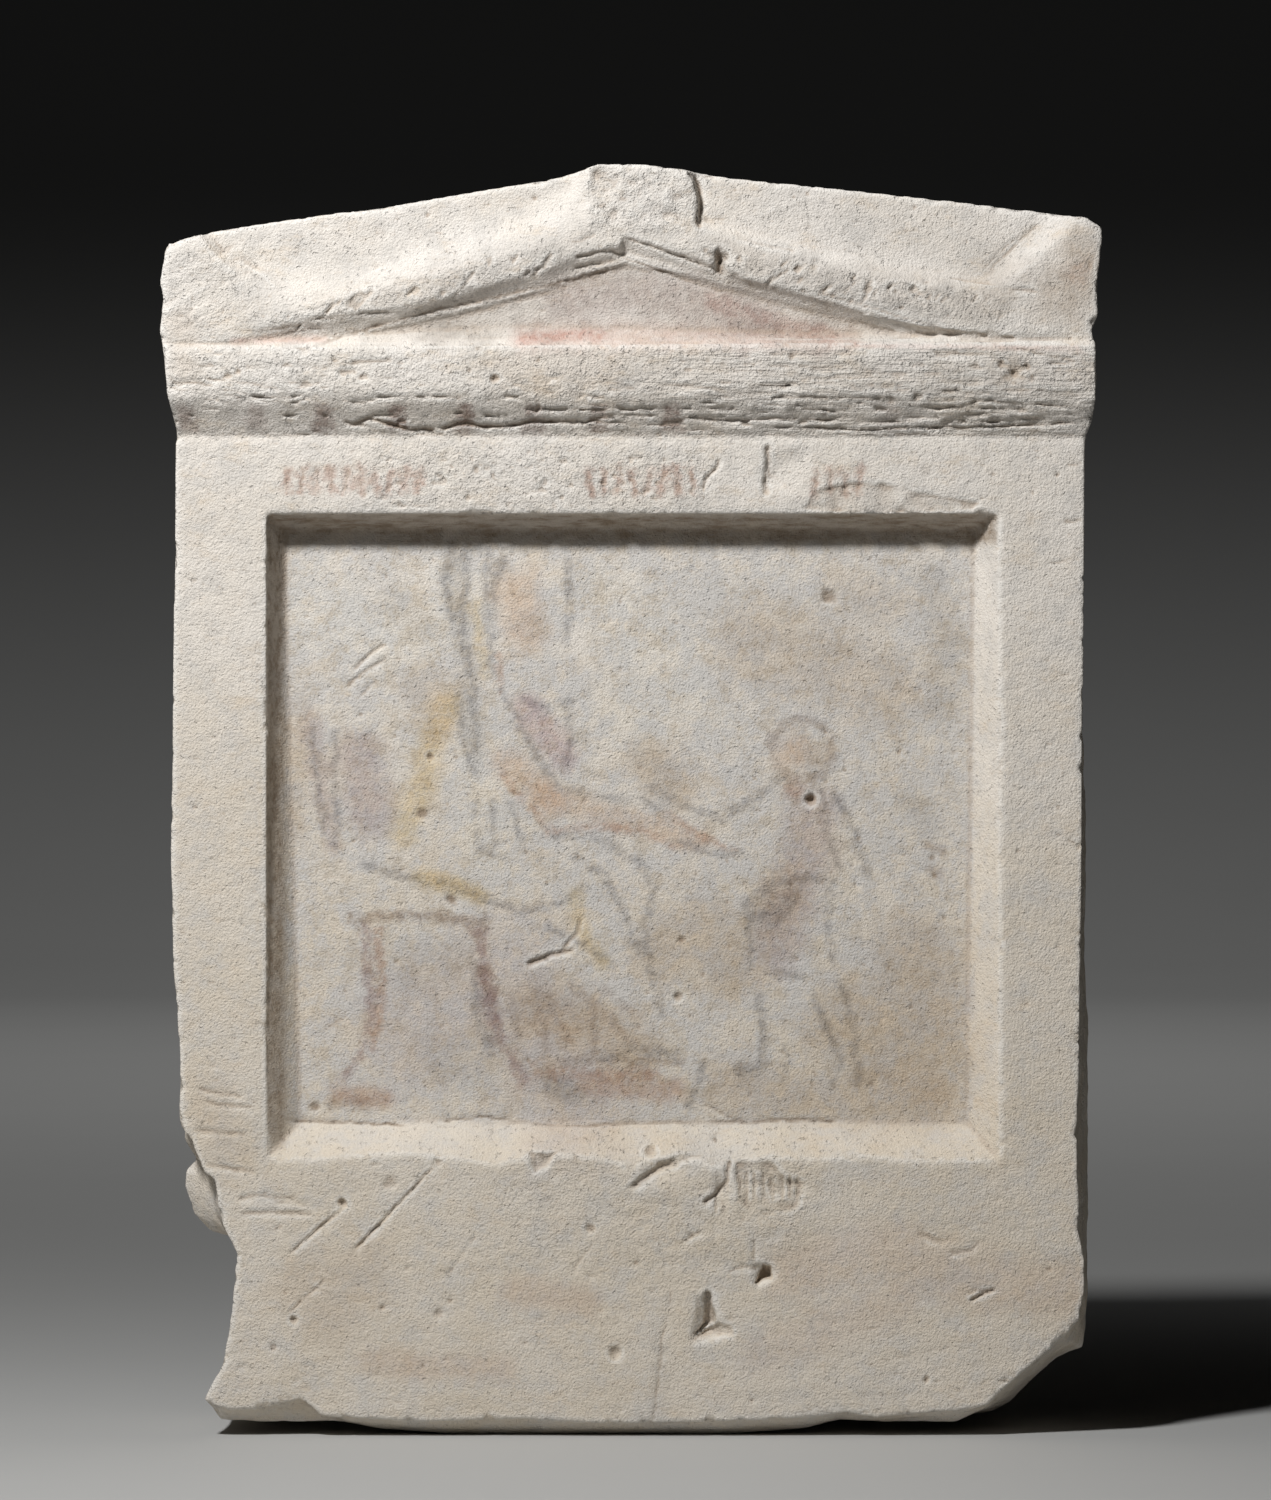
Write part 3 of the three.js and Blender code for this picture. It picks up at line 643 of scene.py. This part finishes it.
def standing_child():
    angles = np.linspace(0, 2 * math.pi, 15)
    head = [(54 + 9.6 * math.cos(a), 216 + 9.8 * math.sin(a)) for a in angles]
    stroke(UMBER, 2.4, head, 0.5)
    washes([
        (FLESH, [(51, 215)], 7, 0.75), (CLAY, [(58, 214)], 6, 0.7),
        (MAUVE, [(58, 196), (56, 182), (50, 166), (46, 152)], 10, 0.7),
        (CLAY, [(38, 160), (48, 172)], 9, 0.6), (RUST, [(50, 204), (53, 202)], 3, 0.6),
    ])
    strokes(SLATE, 0.6, [
        (1.8, [(46, 206), (38, 200), (30, 195)]), (1.5, [(30, 194), (18, 198), (6, 204)]),
        (1.3, [(64, 203), (70, 192), (75, 176)]), (1.2, [(60, 203), (62, 190), (66, 178)]),
        (1.4, [(36, 168), (46, 174), (55, 176), (64, 174)]),
        (1.4, [(37, 162), (48, 168), (56, 176)]), (1, [(44, 160), (52, 168)]),
        (1.2, [(63, 174), (62, 160), (64, 150)]), (1.2, [(38, 150), (36, 166)]),
        (1.5, [(58, 138), (62, 128), (66, 118), (64, 110)]),
        (1.5, [(66, 142), (70, 132), (71, 120), (72, 111)]),
        (1.4, [(40, 138), (42, 126), (41, 116)]), (2.6, [(34, 115), (42, 116.5)]),
        (1.2, [(49, 122), (49, 112)]), (1.2, [(44, 146), (54, 144)]),
        (1.3, [(12, 188), (24, 184), (36, 183)]),
    ])


def ground_and_stains():
    washes([
        (CHALK, [(-100, 262), (-74, 252), (-60, 262)], 15, 0.8),
        (CHALK, [(-6, 262), (10, 244), (2, 228)], 16, 0.7), (CHALK, [(22, 230), (32, 222)], 8, 0.5),
        (ASH, [(95, 270), (100, 250), (99, 232)], 7, 0.7), (ASH, [(-74, 262), (-66, 256)], 7, 0.7),
        (ASH, [(88, 200), (94, 190)], 5, 0.5), (CLAY, [(40, 250), (60, 244), (80, 236)], 16, 0.55),
        (CLAY, [(6, 212), (14, 204)], 9, 0.7), (CLAY, [(80, 262), (66, 268)], 9, 0.4),
        (CLAY, [(10, 152), (24, 160), (30, 146)], 12, 0.6),
        (CLAY, [(70, 130), (92, 120), (90, 150)], 18, 0.7),
        (CLAY, [(30, 110), (60, 106), (96, 104)], 10, 0.6),
        (MAUVE, [(-70, 128), (-40, 146), (-20, 104)], 22, 0.4),
        (CLAY, [(-104, 230), (-106, 190)], 4, 0.5), (UMBER, [(93.5, 186), (99, 184)], 1.6, 0.55),
        (UMBER, [(95, 178.5), (98, 176)], 1.4, 0.5), (UMBER, [(-94, 105), (-84, 104)], 2.4, 0.5),
        (RUST, [(-36, 46), (-24, 44), (-14, 42)], 6, 0.28),
        (RUST, [(-82, 24), (-64, 22), (-40, 22)], 5, 0.25),
        (RUST, [(50, 52), (80, 58), (104, 50), (140, 46)], 11, 0.22),
        (RUST, [(60, 36), (84, 42), (40, 26)], 8, 0.16),
        (CLAY, [(-104, 48), (-84, 52), (-96, 38)], 12, 0.45),
        (CLAY, [(-126, 90), (-132, 104)], 9, 0.4), (CHALK, [(64, 52), (74, 54)], 5, 0.8),
        (RUST, [(140, 366)], 5, 0.4), (CLAY, [(140, 372), (136, 358)], 9, 0.5),
        (CLAY, [(120, 334)], 6, 0.7), (CLAY, [(-40, 334), (-10, 336)], 9, 0.35),
        (ASH, [(10, 29), (9, 15), (7.5, 5)], 2.4, 0.5), (CLAY, [(-141, 350), (-138, 335)], 6, 0.4),
    ])


def draw_everything():
    for draw in (
        pediment_marks, cornice_marks, architrave_marks, lower_field_marks, panel_marks,
        bands_of_paint, seated_figure, furniture, standing_child, ground_and_stains,
    ):
        draw()


def read_map(values, x, z):
    """The map's value at each place, blended between its cells."""
    column = np.clip((x - MAP_LEFT) / CELL, 0, MAP_X.shape[1] - 1.001)
    row = np.clip((z - MAP_FOOT) / CELL, 0, MAP_X.shape[0] - 1.001)
    c, r = column.astype(int), row.astype(int)
    u, v = column - c, row - r
    if values.ndim == 3:
        u, v = u[:, None], v[:, None]
    low = values[r, c] * (1 - u) + values[r, c + 1] * u
    high = values[r + 1, c] * (1 - u) + values[r + 1, c + 1] * u
    return low * (1 - v) + high * v


# ---- the stone's mesh

def placed(name, data):
    """A new object in the scene."""
    made = bpy.data.objects.new(name, data)
    bpy.context.scene.collection.objects.link(made)
    return made


def read_mesh(mesh):
    """The mesh's points in mm, their normals and its edges."""
    points = np.empty(len(mesh.vertices) * 3, np.float32)
    normals = np.empty(len(mesh.vertices) * 3, np.float32)
    edges = np.empty(len(mesh.edges) * 2, np.int32)
    mesh.vertices.foreach_get("co", points)
    mesh.vertices.foreach_get("normal", normals)
    mesh.edges.foreach_get("vertices", edges)
    return points.reshape(-1, 3) / MM, normals.reshape(-1, 3), edges.reshape(-1, 2)


def write_mesh(mesh, points):
    mesh.vertices.foreach_set("co", (points * MM).astype(np.float32).ravel())
    mesh.update()


def take_modifiers(piece):
    bpy.context.view_layer.update()
    seen = piece.evaluated_get(bpy.context.evaluated_depsgraph_get())
    made = bpy.data.meshes.new_from_object(seen)
    piece.modifiers.clear()
    piece.data = made


def carved_copy(node):
    """The node's solid as one even skin of small quads, fine enough to carve."""
    piece = placed("carved_stone", node.data.copy())
    remesh = piece.modifiers.new("even skin", "REMESH")
    remesh.mode = "VOXEL"
    remesh.voxel_size = VOXEL * MM
    take_modifiers(piece)
    return piece


def relaxed(points, edges, rounds):
    """The points after each has moved to the middle of its neighbours, so many times."""
    count = len(points)
    both = np.concatenate([edges, edges[:, ::-1]])
    valence = np.maximum(np.bincount(both[:, 0], minlength=count), 1)[:, None]
    for _ in range(rounds):
        sums = [np.bincount(both[:, 0], points[both[:, 1], axis], count) for axis in range(3)]
        points = np.stack(sums, 1) / valence
    return points


def relaxed_part(points, edges, rounds, part):
    """The same for one part of the mesh, where part is true."""
    number = np.cumsum(part) - 1
    inner = number[edges[part[edges].all(1)]]
    made = points.copy()
    made[part] = relaxed(points[part], inner, rounds)
    return made


def boxed(points):
    """The points, held inside the solid's own box."""
    low, high = (np.array(corner) / MM for corner in cad_box)
    return np.clip(points, low, high)


def soft_slopes(x, z):
    """Where the pediment's mouldings melt into the ground above them."""
    left = inside(x, z, -140, -12, 355, 392, 6) * ramp(3, -3, off_line(x, z, -72, 371, 0.264) - 8)
    right = inside(x, z, 24, 120, 354, 385, 5) * ramp(3, -3, off_line(x, z, 60, 370, -0.20) - 4)
    return np.clip(left + 0.6 * right, 0, 1)


# Parts of the front with their own texture: left, right, foot, head and how softly they end
PARTS = {
    "cornice": (-150, 150, LEDGE_Z + 1, CORNICE_TOP_Z, 1.5),
    "plaster": (-84, 24, 292, 312, 5),
    "corner": (-150, -118, 346, 376, 5),
    "block": (-14, 20, 379, 399, 2.5),
    "lower": (-150, 150, -5, 84, 8),
    "sill": (-40, 60, 55, 96, 8),
}
# How coarse the grain of some parts is; the rakes are the pediment's two sloping mouldings
COARSE = {"cornice": 0.9, "plaster": 0.8, "corner": 0.6, "rakes": 0.9, "block": 1.0, "sill": 0.5}


def rough_parts(x, z):
    """Masks of the parts of the front, by name."""
    left_rake = ramp(6.5, 2.5, off_line(x, z, -62, 361.5, 0.25))
    right_rake = ramp(6.5, 2.5, off_line(x, z, 64, 362.5, -0.17))
    left_rake = left_rake * inside(x, z, -112, -22, 345, 378, 4)
    right_rake = right_rake * inside(x, z, 22, 118, 345, 378, 4)
    masks = {name: inside(x, z, *place) for name, place in PARTS.items()}
    return masks | {"rakes": np.clip(left_rake + right_rake, 0, 1)}


def pitted(place, sizes, seed, share):
    """Separate pits from 0 to 1 deep, over about the given share of the surface."""
    return ramp(0.62 - share, 1.0 - share, noise(place, sizes, seed, 2))


def face_texture(x, z):
    """Depth of the worn surface of the front: smooth plaster, claw, chisel and broken stone.

    Each layer has its own depth and the sizes of its lumps in mm, then its seed.
    """
    part, at = rough_parts(x, z), (x, z)
    depth = 0.16 * noise(at, (15, 13), 40, 2) + 0.07 * noise(at, (3.4, 3.0), 41, 2)
    depth += 0.5 * pitted(at, (3.2, 2.2), 52, 0.1)
    tooled = 0.25 + 0.55 * ramp(-20, 50, x)
    depth += part["cornice"] * tooled * 0.8 * noise(at, (15, 2.1), 42, 2)
    depth += part["cornice"] * (
        0.45 * noise(at, (6, 4.6), 43, 2) + 0.9 * pitted(at, (6.0, 1.9), 53, 0.3)
    )
    depth += part["plaster"] * (
        0.7 * pitted(at, (2.7, 2.4), 44, 0.35) + 0.2 * noise(at, (5, 5), 54, 2)
    )
    depth += part["corner"] * 0.4 * noise(turned(x, z, 32), (13, 2.4), 45, 2)
    depth += part["rakes"] * pitted(turned(x, z, 52), (4.4, 2.2), 46, 0.36)
    depth += part["rakes"] * 0.3 * noise(at, (5, 4), 55, 2)
    depth += part["block"] * 1.1 * noise(at, (5.5, 4.8), 47, 3)
    depth += part["lower"] * 0.12 * noise(at, (26, 3.0), 48, 2)
    depth += part["sill"] * 0.35 * noise(at, (6, 6), 49, 2)
    return depth


def roughness(x, z):
    part = rough_parts(x, z)
    return np.clip(sum(amount * part[name] for name, amount in COARSE.items()), 0, 1)


def weathered(points, normals, edges):
    """The carved and worn surface: drawn marks, textures, rounded arrises and broken sides."""
    x, y, z = points.T
    facing = ramp(0.25, 0.7, -normals[:, 1])
    behind = ramp(0.5, 0.9, normals[:, 1])
    side = (1 - facing) * (1 - behind)
    in_panel = ramp(FACE_Y + 2, PANEL_Y - 2, y) * inside(x, z, *MOUTH, 1) * in_front(y)
    space = (x, y, z)

    slight = -np.einsum("ij,ij->i", relaxed(points, edges, 2) - points, normals)
    wide = -np.einsum("ij,ij->i", relaxed(points, edges, 9) - points, normals)
    chipped = ramp(0.05, 0.5, noise(space, (5, 5, 5), 60, 3))
    lost = ARRIS_WEAR * np.clip(slight, 0, 2) + CHIP_WEAR * chipped * np.clip(wide, 0, 2)
    worn = points - normals * lost[:, None]

    crown = (z > CROWN_Z) & (normals[:, 1] < 0.2)
    soft = relaxed_part(points, edges, 60, crown)
    slope = (soft_slopes(x, z) * facing)[:, None]
    worn = worn * (1 - slope) + soft * slope

    depth = facing * (
        MARK_GAIN * read_map(relief, x, z) + face_texture(x, z) * (1 - PANEL_CALM * in_panel)
    )
    rough = 0.55 * noise(space, (9, 9, 9), 61, 3) + 0.5
    coarse_right = ramp(120, 140, x) * ramp(300, 230, z)
    depth_side = side * (1 - in_panel) * rough * (0.7 + 0.9 * coarse_right)
    depth_side += side * in_panel * 0.25 * (0.6 + noise(space, (16, 16, 2.5), 62, 2))
    depth_back = behind * (0.9 + 0.8 * noise(space, (24, 24, 24), 63, 2))

    bed = ramp(3.5, 0.6, z) * ramp(-0.5, -0.9, normals[:, 2])  # the underside stays flat
    made = worn.copy()
    made[:, 1] += depth
    made -= normals * ((depth_side + depth_back) * (1 - bed))[:, None]
    return boxed(points * bed[:, None] + made * (1 - bed[:, None]))


def thinned(piece, bend):
    """Fewer triangles, kept mostly where the front bends: bend is 0 on flats, 1 at an arris."""
    mesh = piece.data
    _, normals, _ = read_mesh(mesh)
    front = ramp(-0.2, 0.4, -normals[:, 1])
    keep = KEEP_BEHIND + (KEEP_FLAT - KEEP_BEHIND) * front + (KEEP_BENT - KEEP_FLAT) * bend * front
    group = piece.vertex_groups.new(name="keep")
    levels = np.round(keep * KEEP_LEVELS).astype(int)
    for level in np.unique(levels):
        group.add(np.flatnonzero(levels == level).tolist(), float(level / KEEP_LEVELS), "REPLACE")
    mesh.calc_loop_triangles()
    thin = piece.modifiers.new("thin", "DECIMATE")
    thin.ratio = min(1.0, MOST_TRIANGLES / len(mesh.loop_triangles))
    thin.vertex_group = "keep"
    thin.invert_vertex_group = True
    thin.vertex_group_factor = EVENNESS
    thin.use_collapse_triangulate = True
    take_modifiers(piece)
    points, _, _ = read_mesh(piece.data)
    write_mesh(piece.data, boxed(points))


def store(mesh, name, values):
    kind = "FLOAT" if values.ndim == 1 else "FLOAT_COLOR"
    if values.ndim == 2:
        values = np.concatenate([values, np.ones((len(values), 1))], 1)
    layer = mesh.attributes.new(name, kind, "POINT")
    field = "value" if kind == "FLOAT" else "color"
    layer.data.foreach_set(field, values.astype(np.float32).ravel())


def store_marks(mesh):
    """What the material needs to know of each place, read off the map or from where it lies."""
    points, normals, _ = read_mesh(mesh)
    x, y, z = points.T
    facing = ramp(0.1, 0.5, -normals[:, 1])
    store(mesh, "paint_gap", np.where(facing > 0.3, read_map(paint_gap, x, z), NO_PAINT))
    store(mesh, "paint_tint", read_map(paint_tint, x, z))
    store(mesh, "wash", 1 - (1 - read_map(wash, x, z)) * facing[:, None])
    store(mesh, "soil", read_map(soil, x, z) * facing)
    panel = inside(x, z, *PANEL, 1) * ramp(PANEL_Y - 6, PANEL_Y - 2, y) * in_front(y)
    store(mesh, "panel", panel)
    in_mouth = inside(x, z, *MOUTH, 1) * in_front(y)
    store(mesh, "broken", (1 - facing) * (1 - in_mouth))
    left, _, _, head = PANEL
    _, _, foot, _ = MOUTH
    # Grime with painted shade: darkens the soffit, the strip of panel below it where the soffit's
    # shadow falls, and the left jamb that faces away from the key lamp
    soffit = ramp(head - 6, head - 3, z) * in_mouth
    left_jamb = ramp(left + 2.2, left - 0.5, x) * in_mouth * ramp(foot, foot + 10, z)
    store(mesh, "grime_and_shade", np.clip(soffit + left_jamb, 0, 1) * ramp(FACE_Y + 0.3, FACE_Y + 1.6, y))
    store(mesh, "rough", np.maximum(roughness(x, z) * facing, 1 - facing))
    store(mesh, "tooled", rough_parts(x, z)["cornice"] * ramp(-30, 40, x) * facing)


# ---- materials

class Nodes:
    """Short calls for the nodes of one material. A value is a number, a colour or a socket."""

    COLOUR_A, COLOUR_B, COLOUR_OUT = 6, 7, 2  # the mix node's sockets for colours

    def __init__(self, name):
        self.material = bpy.data.materials.new(name)
        self.material.use_nodes = True
        self.tree = self.material.node_tree
        self.shader = self.tree.nodes["Principled BSDF"]
        self.place = self.new("TexCoord").outputs["Object"]

    def new(self, kind):
        return self.tree.nodes.new("ShaderNode" + kind)

    def put(self, value, socket):
        if isinstance(value, bpy.types.NodeSocket):
            self.tree.links.new(value, socket)
        elif socket.type == "RGBA" and len(value) == 3:
            socket.default_value = (*value, 1)
        else:
            socket.default_value = value

    def math(self, kind, *values, clamp=False):
        node = self.new("Math")
        node.operation = kind
        node.use_clamp = clamp
        for value, socket in zip(values, node.inputs):
            self.put(value, socket)
        return node.outputs[0]

    def times(self, first, second):
        return self.math("MULTIPLY", first, second)

    def mix(self, share, first, second, kind="MIX"):
        node = self.new("Mix")
        node.data_type = "RGBA"
        node.blend_type = kind
        self.put(share, node.inputs["Factor"])
        self.put(first, node.inputs[self.COLOUR_A])
        self.put(second, node.inputs[self.COLOUR_B])
        return node.outputs[self.COLOUR_OUT]

    def ramp(self, value, low, high, out_low=0.0, out_high=1.0):
        """A smooth change from one value to another as the input goes from low to high."""
        node = self.new("MapRange")
        node.interpolation_type = "SMOOTHSTEP"
        for item, socket in zip((value, low, high, out_low, out_high), node.inputs):
            self.put(item, socket)
        return node.outputs[0]

    def height(self):
        """Height above the floor, in metres."""
        node = self.new("SeparateXYZ")
        self.put(self.place, node.inputs[0])
        return node.outputs["Z"]

    def attribute(self, name, output="Fac"):
        node = self.new("Attribute")
        node.attribute_name = name
        return node.outputs[output]

    def stretched(self, scale):
        node = self.new("Mapping")
        self.put(self.place, node.inputs["Vector"])
        node.inputs["Scale"].default_value = scale
        return node.outputs[0]

    def noise(self, size, detail=3.0, roughness=0.55, vector=None):
        """Noise about 0.5 whose cells are so many millimetres across."""
        node = self.new("TexNoise")
        self.put(vector or self.place, node.inputs["Vector"])
        node.inputs["Scale"].default_value = 1 / (size * MM)
        node.inputs["Detail"].default_value = detail
        node.inputs["Roughness"].default_value = roughness
        return node.outputs["Fac"]


WARM_STONE, PALE_STONE = (0.73, 0.645, 0.53), (0.83, 0.78, 0.72)
GREY_STONE, TAN_STONE, BROWN_STONE = (0.66, 0.625, 0.58), (0.70, 0.57, 0.42), (0.45, 0.34, 0.24)
WHITE_GRAIN = (0.90, 0.87, 0.82)
GREY_GROUND, BROWN_GROUND = (0.64, 0.62, 0.60), (0.56, 0.48, 0.38)
# PAINTED_SHADE_PAPER is the painted shade at the top of the backdrop
PALE_PAPER, PALEST_PAPER, PAINTED_SHADE_PAPER = (0.46, 0.46, 0.45), (0.48, 0.48, 0.47), (0.025, 0.025, 0.024)
# GRIME_AND_SHADE is the dark brown of the niche's grime and its painted shade
DUST, DIRT, GRIME_AND_SHADE = (0.44, 0.35, 0.27), (0.27, 0.195, 0.135), (0.30, 0.23, 0.165)


def stone_colour(m):
    """Limestone that is warmer towards its foot, with clouds, stains and grains."""
    high = m.times(m.ramp(m.height(), 0.10, 0.36), 0.75)
    cloud = m.times(m.ramp(m.noise(38, 4), 0.35, 0.65), 0.3)
    base = m.mix(m.math("ADD", high, cloud, clamp=True), WARM_STONE, PALE_STONE)
    base = m.mix(m.ramp(m.noise(11, 6, 0.7), 0.42, 0.68, 0, 0.75), base, GREY_STONE)
    flat = m.stretched((1, 1, 1.7))
    base = m.mix(m.ramp(m.noise(16, 7, 0.75, flat), 0.50, 0.72, 0, 0.5), base, TAN_STONE)
    speck = m.noise(1.3, 4, 0.75)
    base = m.mix(m.ramp(speck, 0.58, 0.74, 0, 0.42), base, BROWN_STONE)
    return m.mix(m.ramp(speck, 0.42, 0.24, 0, 0.4), base, WHITE_GRAIN)


def painted(m, base):
    """The panel's worn ground, the washes and the outlines of the painting."""
    panel = m.attribute("panel")
    grey = m.ramp(m.noise(9, 8, 0.76), 0.42, 0.58, 0, 0.75)
    base = m.mix(m.times(panel, grey), base, GREY_GROUND)
    brown = m.ramp(m.noise(6.5, 8, 0.8), 0.48, 0.64, 0, 0.65)
    base = m.mix(m.times(panel, brown), base, BROWN_GROUND)
    washed_base = m.mix(1.0, base, m.attribute("wash", "Color"), "MULTIPLY")
    worn_wash = m.ramp(m.noise(2.6, 6, 0.75), 0.38, 0.64, 1.0, 0.6)
    base = m.mix(worn_wash, base, washed_base)
    edge = m.ramp(m.noise(2.4, 6, 0.7), 0.3, 0.7, -0.9, 0.8)
    gap = m.math("ADD", m.attribute("paint_gap"), edge)
    left = m.ramp(m.noise(3.6, 7, 0.8), 0.66, 0.42, 0.35, 1.0)
    laid = m.times(m.ramp(gap, 1.7, -0.9), left)
    tinted = m.mix(1.0, base, m.attribute("paint_tint", "Color"), "MULTIPLY")
    return m.mix(laid, base, tinted)


def soiled_and_shaded(m, base):
    """Dust in hollows, dirt where it was drawn, grime and painted shade in the niche, and worn
    arrises.
    """
    hollow = m.attribute("hollow")
    patchy = m.ramp(m.noise(6, 4, 0.6), 0.3, 0.6, 0.35, 1.0)
    base = m.mix(m.times(m.ramp(hollow, 0.22, 1.0, 0, 0.5), patchy), base, DUST)
    strong = m.times(m.attribute("soil"), m.ramp(m.noise(3, 4, 0.6), 0.3, 0.6, 0.3, 0.9))
    base = m.mix(strong, base, DIRT)
    streaky = m.ramp(m.noise(3.5, 6, 0.75, m.stretched((0.35, 1, 0.7))), 0.30, 0.62, 1.0, 0.45)
    # Grime and painted shade in the niche: soffit, shadowed panel strip and left jamb mixed towards
    # dark brown
    base = m.mix(m.times(m.attribute("grime_and_shade"), streaky), base, GRIME_AND_SHADE)
    base = m.mix(m.ramp(hollow, -0.15, -0.9, 0, 0.4), base, WHITE_GRAIN)
    crumbly = m.ramp(m.noise(9, 5, 0.7), 0.35, 0.65, 0.1, 0.6)
    return m.mix(m.times(m.attribute("broken"), crumbly), base, BROWN_GROUND)


def stone_surface(m):
    """Sandy grain, pores and, on the cornice, the lines of a chisel."""
    rough = m.attribute("rough")
    grain = m.times(m.noise(0.7, 3, 0.6), m.ramp(rough, 0, 1, 0.55, 0.75))
    lumps = m.times(m.noise(2.6, 4, 0.6), m.ramp(rough, 0, 1, 0.42, 0.95))
    pores = m.times(m.ramp(m.noise(1.6, 3, 0.6), 0.60, 0.74), m.ramp(rough, 0, 1, 0.35, 0.7))
    lines = m.noise(1.1, 3, 0.6, m.stretched((0.09, 1, 1)))
    lines = m.times(lines, m.times(m.attribute("tooled"), 0.9))
    surface = m.math("SUBTRACT", m.math("ADD", m.math("ADD", grain, lumps), lines), pores)
    bump = m.new("Bump")
    bump.inputs["Strength"].default_value = 1.0
    bump.inputs["Distance"].default_value = 1.0 * MM
    m.put(surface, bump.inputs["Height"])
    return bump.outputs[0]


def limestone():
    m = Nodes("limestone")
    m.put(soiled_and_shaded(m, painted(m, stone_colour(m))), m.shader.inputs["Base Color"])
    m.put(m.ramp(m.noise(2.2, 3), 0.3, 0.7, 0.78, 0.97), m.shader.inputs["Roughness"])
    m.shader.inputs["Specular IOR Level"].default_value = 0.22
    m.put(stone_surface(m), m.shader.inputs["Normal"])
    return m.material


def floor_paper():
    """Pale paper that is darkened towards dark grey as it rises far behind the stone: painted shade
    in place of light falling off.
    """
    m = Nodes("pale_paper")
    height = m.height()
    pale = m.mix(m.noise(160, 3), PALE_PAPER, PALEST_PAPER)
    # Painted shade: the paper's colour darkens with height, standing in for the light falling off
    # on the backdrop
    painted_falloff = m.ramp(height, -0.1, 0.9)
    m.put(m.mix(painted_falloff, pale, PAINTED_SHADE_PAPER), m.shader.inputs["Base Color"])
    m.shader.inputs["Roughness"].default_value = 0.8
    return m.material


# ---- camera and light

def camera():
    data = bpy.data.cameras.new("camera")
    data.sensor_width = SENSOR
    data.lens = SENSOR * VIEW_DISTANCE / FRAME_HEIGHT
    made = placed("camera", data)
    made.location = (VIEW_SIDE, FACE_Y * MM - VIEW_DISTANCE, VIEW_HEIGHT)
    made.rotation_euler = (math.pi / 2, 0, 0)
    bpy.context.scene.camera = made


def lamp(name, place, aim, size, watts, spread=180):
    """A soft round lamp at one place, in metres, aimed at another."""
    data = bpy.data.lights.new(name, "AREA")
    data.shape = "ELLIPSE"
    data.size, data.size_y = size
    data.energy = watts
    data.spread = math.radians(spread)
    made = placed(name, data)
    made.location = place
    made.rotation_euler = (Vector(aim) - Vector(place)).to_track_quat("-Z", "Y").to_euler()


def key_lamp(bearing, elevation, reach, size, watts):
    """The main lamp; its bearing is in degrees, 0 in front of the stone and 90 to the right."""
    a, e = math.radians(bearing), math.radians(elevation)
    middle = Vector((0, 0, MIDDLE_HEIGHT))
    out = Vector((math.sin(a) * math.cos(e), -math.cos(a) * math.cos(e), math.sin(e)))
    lamp("key", middle + out * reach, middle, (size, size), watts)


def sweep(radius, bend, height):
    """A pale floor all round the stone that curves up into a backdrop."""
    turn = np.linspace(0, math.pi / 2, 13)
    profile = [(radius + bend * math.sin(a), bend - bend * math.cos(a)) for a in turn]
    profile.append((radius + bend, height))
    steps, rings = 48, len(profile)
    points, faces = [(0, 0, 0)], []
    for step in range(steps):
        angle = 2 * math.pi * step / steps
        points += [(r * math.sin(angle), -r * math.cos(angle), z) for r, z in profile]
        here, after = 1 + step * rings, 1 + (step + 1) % steps * rings
        faces.append((0, here, after))
        faces += [(here + i, here + i + 1, after + i + 1, after + i) for i in range(rings - 1)]
    mesh = bpy.data.meshes.new("floor")
    mesh.from_pydata(points, [], faces)
    mesh.materials.append(floor_paper())
    mesh.shade_smooth()
    placed("floor", mesh)


def studio():
    key_lamp(*KEY_LAMP)
    sweep(*PAPER)
    lamp("floor_lamp", *FLOOR_LAMP)
    world = bpy.data.worlds.new("room")
    world.use_nodes = True
    light = world.node_tree.nodes["Background"].inputs
    light["Color"].default_value = (1, 1, 1, 1)
    light["Strength"].default_value = ROOM_LIGHT
    bpy.context.scene.world = world
    bpy.context.scene.view_settings.view_transform = "Standard"


def store_hollows(mesh):
    """Stores how deep each place lies, negative on arrises; returns how much it bends, 0 to 1."""
    points, normals, edges = read_mesh(mesh)
    hollow = np.einsum("ij,ij->i", relaxed(points, edges, 4) - points, normals)
    store(mesh, "hollow", np.clip(hollow * 5, -1, 1))
    return ramp(0.04, 0.16, np.abs(hollow))


def stone():
    piece = carved_copy(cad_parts["stele"])
    write_mesh(piece.data, weathered(*read_mesh(piece.data)))
    thinned(piece, store_hollows(piece.data))
    mesh = piece.data
    store_marks(mesh)
    mesh.materials.clear()
    mesh.materials.append(limestone())
    mesh.shade_smooth()
    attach(piece, "root")
    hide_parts("stele")


draw_everything()
stone()
camera()
studio()
